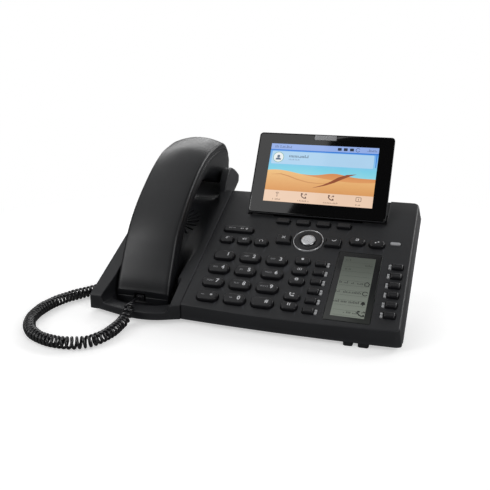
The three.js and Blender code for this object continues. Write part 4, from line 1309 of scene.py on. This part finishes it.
def cradle_row(y):
    """Section (x, z) at level depth y: left post, ledge, right post and seam."""
    top = line_z(max(y, -1.6), 0)
    left = LEFT_X + left_flare(y)
    row = []
    for i in range(LEFT_COLUMNS):
        c, s = cos_sin(15 * i)
        row.append((left + 1.2 * (1 - c), top - 1.2 + 1.2 * s))
    bank_left = -112 + 0.12 * max(0.0, y)
    post = bank_left - 3.7 - 0.012 * (top - 15)
    edge = 0.7
    start = left + 1.2
    row += [(start + (post - edge - start) * t, top) for t in (0.2, 0.45, 0.7, 0.9)]
    turns = [cos_sin(18 * i) for i in range(6)]
    row += [(post - edge + edge * s, top - edge + edge * c) for c, s in turns]
    side_z = top - edge - 0.3 * (top - edge - 13.9)
    row.append((post + 0.02, side_z))
    row += [(bank_left + x, z) for x, z in BANK]
    bank_right = -58.6 - 0.03 * max(0.0, y)
    row += [(bank_left + (bank_right - bank_left) * t, LEDGE_Z) for t in LEDGE_STEPS]
    row += [(bank_right - x * 0.95, z) for x, z in BANK[::-1]]
    post = bank_right + 3.5
    row.append((post - 0.02, side_z))
    for i in range(6):
        c, s = cos_sin(90 - 18 * i)
        row.append((post + edge - edge * s, top - edge + edge * c))
    end = CRADLE_RIGHT - SEAM_EDGE
    row += [(post + edge + (end - post - edge) * t, top) for t in (0.2, 0.5, 0.8)]
    for i in range(SEAM_COLUMNS):
        c, s = cos_sin(30 * i)
        row.append((end + SEAM_EDGE * s, top - SEAM_EDGE + SEAM_EDGE * c))
    return row


def cradle_column(k, count, start_x, start_z):
    """Column k of the skin, from the front foot over the ledge and panel to the back foot."""
    on_left = k < LEFT_COLUMNS
    on_side = on_left or k >= count - SEAM_COLUMNS
    front = float(np.interp(start_x, lip_curve[:, 0], lip_curve[:, 1]))
    x, z = cradle_row(front)[k]
    x = start_x if on_left else x
    z = min(z, 15.2)
    lip = 0.8
    column = [level(x, front, FLOOR_Z), level(x, front, FLOOR_Z + (z - FLOOR_Z) * 0.5)]
    radius = min(lip, z - FLOOR_Z - 0.5)
    for i in range(6):
        c, s = cos_sin(90 * i / 5)
        column.append(level(x, front + radius * (1 - c), z - radius + radius * s))
    first, steps = front + lip, 10
    for j in range(steps):
        y = first + (LEDGE_BACK - first) * (j + 1) / steps
        x, z = cradle_row(y)[k]
        column.append(level(x, y, z))
    back_x = cradle_row(LEDGE_BACK)[k][0]
    for y in (23.6, 30, 45, 70, 95, 118):
        x, z = cradle_row(y)[k]
        column.append(level(x if on_left else back_x, y, z if on_side else line_z(y, 0)))
    x = LEFT_X + (start_x - (LEFT_X + left_flare(0))) if on_left else back_x
    drop = line_z(0, 0) - start_z if on_side else 0
    for i in range(5):
        c, s = cos_sin(22.5 * i)
        column.append(panel(x, BACK_Y - 1 + s, -1 + c - drop * COS))
    column.append(panel(x, BACK_Y, SKIRT))
    column.append(level(x, 25.2, line_z(25.2, SKIRT)))
    foot_y = 25.0 if -119.5 < x < -54 else y_at(FLOOR_Z, SKIRT)
    column.append(level(x + (left_flare(5.7) if on_left else 0), foot_y, FLOOR_Z))
    return column


start_row = cradle_row(0)
columns = [cradle_column(k, len(start_row), x, z) for k, (x, z) in enumerate(start_row)]
cradle = solid("cradle_cover_shell", [columns], MAT["body"])

# humped rest behind the panel, under the handset's upper end, as panel (y, z)
REST = [
    (140.6, -13.1), (140.6, -1.5), (138.1, -1.5), (138.1, -0.6), (141.5, 2.6), (146, 6.2),
    (151, 9.4), (155, 11.0), (158.5, 11.2), (162, 9.9), (166, 7.0), (170, 2.6), (173.6, -2.6),
    (176.6, -7.6), (177.6, -9.6), (176.6, -12), (174.4, -14.9), (172.6, -15.6), (142.9, -15.8),
]
REST_EDGE = 1.4


def inset(points, distance):
    """Closed outline moved inwards."""
    points = [np.array(p, float) for p in points]
    area = 0
    for k, b in enumerate(points):
        a = points[k - 1]
        area += a[0] * b[1] - b[0] * a[1]
    out = []
    for k, b in enumerate(points):
        a, c = points[k - 1], points[(k + 1) % len(points)]
        before, after = (b - a) / np.linalg.norm(b - a), (c - b) / np.linalg.norm(c - b)
        normal = np.array([-(before + after)[1], (before + after)[0]])
        normal = normal / (np.linalg.norm(normal) or 1) * (1 if area > 0 else -1)
        widen = max(0.45, math.sqrt((1 + float(before @ after)) / 2))
        out.append(tuple(b + normal * distance / widen))
    return out


sides = []  # (distance in from the end, inset of the outline)
for i in range(7):
    c, s = cos_sin(90 - 15 * i)
    sides.append((REST_EDGE - REST_EDGE * s, REST_EDGE - REST_EDGE * c))
ends = [(HANDSET_X - 31.5 + a, b) for a, b in sides]
ends += [(HANDSET_X + 34.0 - a, b) for a, b in sides[::-1]]
rest = cutter([[panel(x, y, z) for y, z in inset(REST, amount)] for x, amount in ends])

inner = hollow(3.4, LEFT_X, CRADLE_RIGHT)
below = FLOOR_Z - 20
ledge_block = [(2, below), (2, 60), (27, 60), (27, below)]
boolean(inner, side_prism(ledge_block, -120.6, -52.8, level))
boolean(cradle, inner)
boolean(cradle, rest, op="UNION")

TROUGH_X = HANDSET_X + 0.5
TROUGH = [  # y up the slope, half width, depth, width of the side slope
    (8.5, 20, 17, 3), (11, 23.5, 18.3, 3.5), (15, 26, 19, 4), (22, 27.2, 19, 4.5),
    (32, 27.4, 18.6, 5), (42, 27.3, 15.5, 6), (50, 28, 10.5, 9), (60, 29.5, 6.2, 14),
    (72, 31, 5, 17), (96, 31.2, 5, 17), (120, 31, 5, 17), (132, 29, 7, 12),
    (142, 26.5, 10.5, 5), (150, 25.6, 12, 3), (186, 25.4, 12, 3),
]
STEEP = [  # side of the trough, as parts of its side slope and of its depth
    (0.02, 0.18), (0.08, 0.36), (0.25, 0.55), (0.42, 0.74), (0.6, 0.88), (0.8, 0.965),
]
TROUGH_LIP = [(1.6, 26), (1.0, 0.4), (0.85, 0.02), (0.42, -0.12), (0.15, -0.42), (0.02, -0.95)]
trough_rows, _ = catmull(TROUGH, 72, axes=1)


def trough_rings(lip, wall=0):
    """Rings along the handset trough, wall wider and deeper; lip is (beyond the width, z)."""
    rings = []
    for y, half_width, deep, slope in trough_rows:
        width, depth = half_width + wall, deep + wall
        half = [(width + x, z) for x, z in lip]
        # along its middle the trough has soft S-shaped sides
        soft = max(0.0, min(1.0, (y - 34) / 26)) * (1 - max(0.0, min(1.0, (y - 116) / 14)))
        steep = [(width - a * slope, -b * depth) for a, b in STEEP]
        steep += [(width - slope, -depth), (max(1, width - slope - 4), -depth - 0.01)]
        if wall == 0 and soft > 0:
            wide = [(width + 4.2, half[0][1]), (width + 3.7, half[1][1]), (width + 3.5, 0.02)]
            for i in range(11):
                t = (i + 1) / 11
                fall = -depth * t * t * (3 - 2 * t) - 0.01 * t
                wide.append((width + 3.5 - (slope + 3.5) * t, fall))
            half = [
                (a * (1 - soft) + c * soft, b * (1 - soft) + d * soft)
                for (a, b), (c, d) in zip(half + steep, wide)
            ]
            half[-1] = (max(1, half[-1][0] - 1), half[-1][1])
        else:
            half += steep
        ring = half + [(-x, z) for x, z in half[::-1]]
        rings.append([panel(TROUGH_X + x, y, z) for x, z in ring])
    return rings


# tub around the trough, trimmed to stay inside the cover
tub = cutter(trough_rings([(0, -0.6)], wall=2))
boolean(tub, box(-140, -30, -40, 220, -60, FLOOR_Z, level))
boolean(
    tub,
    box(-140, LEFT_X + 0.4, -40, 220, -60, 40),
    box(-140, -30, -40, 5.6, -60, 40),
    box(-140, -30, 176, 240, -60, 60),
    box(CRADLE_RIGHT - 0.4, -30, -40, 220, -60, 40),
)
boolean(tub, box(-140, -30, -40, 24.2, 8.8, 90, level))
boolean(cradle, tub, op="UNION")
boolean(cradle, cutter(trough_rings(TROUGH_LIP)))
rest_back = [(170, -12), (170, 30), (200, 30), (200, -12)]
boolean(cradle, side_prism(rest_back, HANDSET_X - 25.4, HANDSET_X + 25.4))


def ledge_opening(grow):
    """Arched opening in the ledge, as level (x, y)."""
    points = []
    for i in range(33):
        offset = -25.4 + 53.2 * i / 32
        y = 32 - 30 * math.sqrt(1 - (offset / 35) ** 2) - grow
        points.append((-87.2 + offset * (1 + grow / 60), y))
    return points + [(-59.2, 18), (-112.6, 18)]


mouth_levels = [(0, 5.0), (0, 9.2), (0.06, 9.4), (0.2, 9.56), (0.45, 9.63), (0.5, 44)]
boolean(cradle, cutter(layers(ledge_opening, mouth_levels, level)))

# ring of radial slots in the trough's floor, and a rectangular opening in front of them
SLOT = [  # (distance from the ring's centre, sideways)
    (8, -0.7), (12, -0.78), (16, -0.85), (19.2, -0.9), (19.8, -0.6), (20, 0),
    (19.8, 0.6), (19.2, 0.9), (16, 0.85), (12, 0.78), (8, 0.7), (7.5, 0),
]
SLOTS_Y = 98
stacks = []
for i in range(20):
    c, s = cos_sin(18 * i + 9)
    ring = [(HANDSET_X + r * c - t * s, SLOTS_Y + r * s + t * c) for r, t in SLOT]
    stacks.append([[panel(x, y, z) for x, y in ring] for z in (-12, -1)])
stacks.append(layers(growing(HANDSET_X, 39.1, 11.2, 21, 1.0, 4), [(0, -24), (0, -9)]))
boolean(cradle, cutter(*stacks))
finish_cover(cradle, "cradle_cover", crease=30)

# ------------------------------------------------------------------ handset
# top line (y, z) and bottom line (y, z) on the panel, width factor, crown height
HANDSET = [
    (13.1, -5.3, 9.25, -16.7, 0.985, 0.35), (19.0, 0.1, 20.0, -17.4, 1, 0.57),
    (27.4, 6.2, 32.0, -15.5, 1, 0.82), (38.9, 14.4, 45.0, -8.0, 1, 1.1),
    (50.9, 22.3, 58.0, 2.5, 0.995, 1.4), (66.1, 29.3, 71.0, 11.0, 0.99, 1.7),
    (82.2, 34.2, 86.0, 17.4, 0.985, 2.0), (98.1, 37.4, 99.5, 20.2, 0.98, 2.4),
    (113.0, 39.5, 113.0, 21.0, 0.98, 2.7), (128.1, 40.4, 126.0, 19.6, 0.98, 3.1),
    (143.6, 39.4, 138.0, 14.0, 0.985, 3.4), (158.0, 35.5, 148.0, 4.6, 0.99, 3.8),
    (170.4, 31.1, 157.5, -4.6, 1, 4.1), (178.2, 26.9, 168.0, -9.6, 1, 4.5),
    (183.4, 21.7, 181.0, -10.0, 0.99, 4.8), (187.0, 13.4, 187.0, -4.5, 0.96, 5.1),
]
HANDSET_HALF = 47 / 2
handset_rows, _ = catmull(HANDSET, 84)


def handset_rings(half_section):
    """Sections mirrored about the handset's middle; heights run down from the top line."""
    rings = []
    for top_y, top_z, low_y, low_z, factor, crown in handset_rows:
        length = math.hypot(top_y - low_y, top_z - low_z)
        up_y, up_z = (top_y - low_y) / length, (top_z - low_z) / length
        half = half_section(length, HANDSET_HALF * factor, crown)
        ring = half + [(-x, z) for x, z in half[::-1]]
        rings.append([panel(HANDSET_X + x, top_y + up_y * z, top_z + up_z * z) for x, z in ring])
    return rings


def rounded_end(ring, following, radius, steps=5):
    """Shrinking rings beyond an end ring, for a rolled edge."""
    centre = sum(ring, Vector()) / len(ring)
    away = (centre - sum(following, Vector()) / len(following)).normalized()
    out = []
    for i in range(1, steps + 1):
        c, s = cos_sin(90 * i / steps)
        shrink = radius * MM * (1 - c)
        push = radius * MM * s
        out.append([p + (centre - p).normalized() * shrink + away * push for p in ring])
    return out


def top_section(length, width, crown):
    """Half section of the upper shell."""
    skirt = min(6.2, length * 0.45)
    points = [
        (width * 0.35, -skirt), (width - 0.6, -skirt), (width - 0.2, -skirt + 0.1),
        (width - 0.04, -skirt + 0.35), (width, -skirt + 0.7), (width, -3.6),
    ]
    radius = 3.0
    inner_part = (width - radius) / width
    edge = crown * (1 - (inner_part / 0.86) ** 2) if inner_part < 0.86 else 0.0
    base = max(0.02, edge)
    for i in range(1, 10):
        c, s = cos_sin(90 * i / 10)
        points.append((width - radius * (1 - c), -radius + (radius + base) * s))
    for t in (0.8, 0.7, 0.58, 0.46, 0.34, 0.22, 0.1):
        points.append((width * t, max(base, crown * (1 - (t / 0.9) ** 2))))
    return points


def under_section(length, width, crown):
    """Half section of the lower shell, fuller towards the handset's upper end."""
    seam = min(6.2, length * 0.45) + 0.35
    depth = length - seam
    cup = max(0.0, min(1.0, (crown - 3.5) / 0.8))
    points = [
        (width * 0.35, -seam), (width - 1.0, -seam),
        (width - 0.5, -seam - 0.15), (width - 0.3, -seam - 0.5),
    ]
    for t in (0.15, 0.3, 0.45, 0.58, 0.7, 0.8, 0.88, 0.94, 0.98):
        points.append((width - 0.35 - (6.0 - 4.8 * cup) * t**3.4, -seam - depth * t))
    return points + [
        (width - 8.2 + 5.2 * cup, -length),
        (width - 12 + 4 * cup, -length - 0.1),
        (width * 0.25, -length - 0.15),
    ]


CORD_SOCKET = [(2, -8.0), (3.2, -16.5), (19, -14), (21, -7.3)]
for name, node, section, far_radius, mats in (
    ("handset_top_shell", "handset_outer_shell", top_section, 2.2, ["handset"]),
    ("handset_under_shell", "handset_inner_shell", under_section, 1.6, ["handset", "dark"]),
):
    rings = handset_rings(section)
    near_end = rounded_end(rings[0], rings[1], 0.7)[::-1]
    far_end = rounded_end(rings[-1], rings[-2], far_radius)
    ob = solid(name, [near_end + rings + far_end], *[MAT[key] for key in mats], crease=38)
    boolean(ob, side_prism(CORD_SOCKET, HANDSET_X - 8.5, HANDSET_X + 2.4))
    sharpen(ob.data, 38)
    assign(ob, "handset", node)

# the plug's levels are (growth, level y): it points to the front
plug = layers(
    growing(-89.7, 10.4, 6.6, 4.6, 0.8, 4, keep_radius=True),
    [(0, 20), (0, 15.6), (-0.3, 15.2), (-1.2, 15.1), (-1.8, 14.6), (-2.6, 14.3)],
    lambda x, z, y: level(x, y, z),
)
assign(solid("cord_plug", [plug], MAT["key"], crease=35), "handset")

# ------------------------------------------------------------------ coiled cord
# level x, y, z of the coil's axis; coiling from 0 (straight) to 1; pitch of a turn
CORD_PATH = [
    (-89.7, 16.4, 10.4, 0.0, 2.9), (-89.6, 12.4, 11.2, 0.0, 2.9), (-89.3, 7.6, 12.2, 0.0, 2.9),
    (-88.2, 2.0, 13.0, 0.0, 2.9), (-86.9, -3.0, 13.6, 0.08, 2.9), (-85.5, -8.4, 13.7, 0.35, 3.2),
    (-84.6, -13.2, 12.7, 0.75, 3.6), (-84.6, -17.4, 9.3, 0.95, 3.9), (-85.0, -22.5, 6.0, 1, 3.9),
    (-85.0, -30, 4.9, 1, 3.9), (-84.7, -41.5, 4.9, 1, 3.9), (-86.4, -53, 4.9, 1, 3.9),
    (-91, -62.8, 4.9, 1, 3.8), (-99, -68.4, 4.9, 1, 3.7), (-109.5, -70.9, 4.9, 1, 3.5),
    (-121, -70.2, 4.9, 1, 3.5), (-131.4, -66.8, 4.9, 1, 3.5), (-141.6, -60.3, 4.9, 1, 3.5),
    (-150.3, -50.4, 4.9, 1, 3.5), (-156.5, -38.7, 4.9, 1, 3.5), (-159.9, -24, 4.9, 1, 3.5),
    (-160.2, -12, 4.9, 1, 3.5), (-158.4, 0.5, 4.9, 1, 3.5), (-154.4, 12, 4.9, 1, 3.5),
    (-148.8, 22.6, 4.9, 1, 3.6), (-143, 32, 4.9, 1, 3.6), (-136.4, 43, 5.6, 1, 3.5),
    (-131, 54, 9, 0.9, 3.5), (-127.6, 63.5, 15.5, 0.5, 3.4), (-126.2, 69.6, 22, 0.1, 3.0),
    (-125.2, 73.4, 28, 0.0, 2.9), (-122.4, 75.2, 31.6, 0.0, 2.9),
]
COIL_RADIUS, WIRE_RADIUS, WIRE_SIDES = 3.65, 1.08, 10
SPLIT_X = -156.4  # the cord is split where it first passes this x


def carried_frame(points, normal):
    """Two cross directions at each point, carried along the line without twist."""
    tangents = np.gradient(points, axis=0)
    tangents /= np.linalg.norm(tangents, axis=1)[:, None]
    normals = np.zeros_like(points)
    for i, tangent in enumerate(tangents):
        normal = normal - tangent * (normal @ tangent)
        normal /= np.linalg.norm(normal)
        normals[i] = normal
    return normals, np.cross(tangents, normals)


path, path_length = catmull(CORD_PATH, 3300)
coiling = np.clip(path[:, 3], 0, 1)
axis_points = np.array([level(*row[:3]) for row in path])
normals, binormals = carried_frame(axis_points, np.array([1.0, 0, 0]))
path_step = path_length / (len(path) - 1)
angles = np.cumsum((0.25 + 0.75 * coiling) * path_step * 2 * math.pi / path[:, 4])
eased = coiling * coiling * (3 - 2 * coiling)
numbers = np.arange(len(path))
uneven = 1 + 0.02 * np.sin(numbers * 0.013) + 0.02 * np.sin(numbers * 0.0312)
outward = normals * np.cos(angles)[:, None] + binormals * np.sin(angles)[:, None]
coil = axis_points + outward * (COIL_RADIUS * MM * eased * uneven)[:, None]
wire_normals, wire_binormals = carried_frame(coil, normals[0].copy())


def wire(name, first, last):
    turns = [2 * math.pi * k / WIRE_SIDES for k in range(WIRE_SIDES)]
    rings = []
    for i in range(first, last + 1):
        across, over = wire_normals[i], wire_binormals[i]
        rings.append([
            coil[i] + (across * math.cos(a) + over * math.sin(a)) * WIRE_RADIUS * MM for a in turns
        ])
    return solid(name, [rings], MAT["cord"], crease=80)


split = int(np.argmax(path[:, 0] < SPLIT_X))
handset_side = wire("cord_handset_side", 0, split)
base_side = wire("cord_base_side", split, len(coil) - 1)
assign(base_side, "base", "handset_cord")
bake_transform(handset_side)


# ------------------------------------------------------------------ floor
def floor_material():
    """Pale near the phone and plain white further out; other rays meet a darker table."""
    shader = Shader("floor_pale")
    speckle = shader.noise(scale=300, detail=2)
    shader.set({
        "Base Color": shader.mix(speckle, (0.78, 0.78, 0.78, 1), (0.80, 0.80, 0.80, 1)),
        "Roughness": 0.8,
        "Specular IOR Level": 0.1,
        "Emission Color": (1, 1, 1, 1),
        "Emission Strength": 0.47,
    })
    distance = shader.add("VectorMath")
    distance.operation = "LENGTH"
    shader.feed(shader.place, distance.inputs[0])
    metres = shader.math("MULTIPLY", distance.outputs["Value"], 1.0)
    away = shader.ramp(metres, [(0.24, 0.0), (0.46, 1.0)])
    white = shader.add("Emission")
    white.inputs[0].default_value = (1, 1, 1, 1)
    white.inputs[1].default_value = 1.0

    def blend(factor, first, second):
        node = shader.add("MixShader")
        for source, target in zip((factor, first, second), node.inputs):
            shader.feed(source, target)
        return node.outputs[0]

    visible = blend(away, shader.surface.outputs[0], white.outputs[0])
    rays = shader.add("LightPath")
    table = shader.add("BsdfDiffuse")
    table.inputs[0].default_value = (0.3, 0.3, 0.3, 1)
    seen = blend(rays.outputs["Is Camera Ray"], table.outputs[0], visible)
    shader.feed(seen, shader.out.inputs[0])
    return shader.material


FLOOR_HALF = 6.0
corners = [(x * FLOOR_HALF, y * FLOOR_HALF, 0) for x, y in ((-1, -1), (1, -1), (1, 1), (-1, 1))]
floor = new_object("floor", new_mesh("floor", corners, [(0, 1, 2, 3)], []))
floor.data.materials.append(floor_material())


# ------------------------------------------------------------------ world and lights
def make_world(ambient, backdrop):
    """White world: weak as a light, full as the camera's backdrop."""
    world = bpy.data.worlds.new("studio")
    bpy.context.scene.world = world
    world.use_nodes = True
    nodes, links = world.node_tree.nodes, world.node_tree.links
    nodes.clear()
    out = nodes.new("ShaderNodeOutputWorld")
    mix = nodes.new("ShaderNodeMixShader")
    rays = nodes.new("ShaderNodeLightPath")
    links.new(rays.outputs["Is Camera Ray"], mix.inputs[0])
    for i, strength in ((1, ambient), (2, backdrop)):
        background = nodes.new("ShaderNodeBackground")
        background.inputs[0].default_value = (1, 1, 1, 1)
        background.inputs[1].default_value = strength
        links.new(background.outputs[0], mix.inputs[i])
    links.new(mix.outputs[0], out.inputs[0])


def area_light(name, place, width, height, power):
    light = bpy.data.lights.new(name, "AREA")
    light.shape = "RECTANGLE"
    light.size, light.size_y = width, height
    light.energy = power
    ob = new_object(name, light)
    ob.location = place
    return ob


make_world(ambient=0.02, backdrop=1.0)

# overhead box, slightly turned, placed by a point on its right edge
OVERHEAD_WIDTH, OVERHEAD_TURN = 1.4, 0.235
half = OVERHEAD_WIDTH / 2
place = (-0.19 - half * math.cos(OVERHEAD_TURN), -0.73 + half * math.sin(OVERHEAD_TURN), 1.0)
overhead = area_light("overhead", place, OVERHEAD_WIDTH, 2.1, power=7.0)
overhead.rotation_euler = (0, 0, -OVERHEAD_TURN)

TARGET = Vector((0, 0, 0.05))
for name, place, width, height, power in (
    ("back", (0.05, 1.4, 0.9), 1.2, 0.6, 5.5),
    ("back_high", (0.0, 0.9, 1.5), 1.2, 0.6, 1.2),
    ("right_back", (1.1, 1.0, 0.8), 0.8, 0.8, 12.4),
    ("right_front", (1.2, -1.0, 0.8), 0.8, 0.8, 8.0),
    ("left_front", (-1.15, -1.1, 0.8), 0.3, 0.9, 5.8),
    ("left_back", (-0.8, 1.2, 0.9), 0.9, 0.6, 6.0),
):
    ob = area_light(name, place, width, height, power)
    ob.rotation_mode = "QUATERNION"
    ob.rotation_quaternion = (TARGET - Vector(place)).to_track_quat("-Z", "Y")

# ------------------------------------------------------------------ camera
AZIMUTH, ELEVATION, ROLL = math.radians(18.01), math.radians(16.24), math.radians(0.312)
back = Vector((
    math.sin(AZIMUTH) * math.cos(ELEVATION),
    -math.cos(AZIMUTH) * math.cos(ELEVATION),
    math.sin(ELEVATION),
))
right = Vector((math.cos(AZIMUTH), math.sin(AZIMUTH), 0))
up = back.cross(right)
rolled_right = math.cos(ROLL) * right + math.sin(ROLL) * up
rolled_up = -math.sin(ROLL) * right + math.cos(ROLL) * up
pose = Matrix((rolled_right, rolled_up, back)).transposed().to_4x4()
pose.translation = Vector((0.15297, -0.52536, 0.20489))

camera = bpy.data.cameras.new("camera")
camera_object = new_object("camera", camera)
camera_object.matrix_world = pose
camera.sensor_width = 36
camera.lens = 48.489796
camera.clip_start, camera.clip_end = 0.01, 50
bpy.context.scene.camera = camera_object
bpy.context.scene.view_settings.view_transform = "Standard"
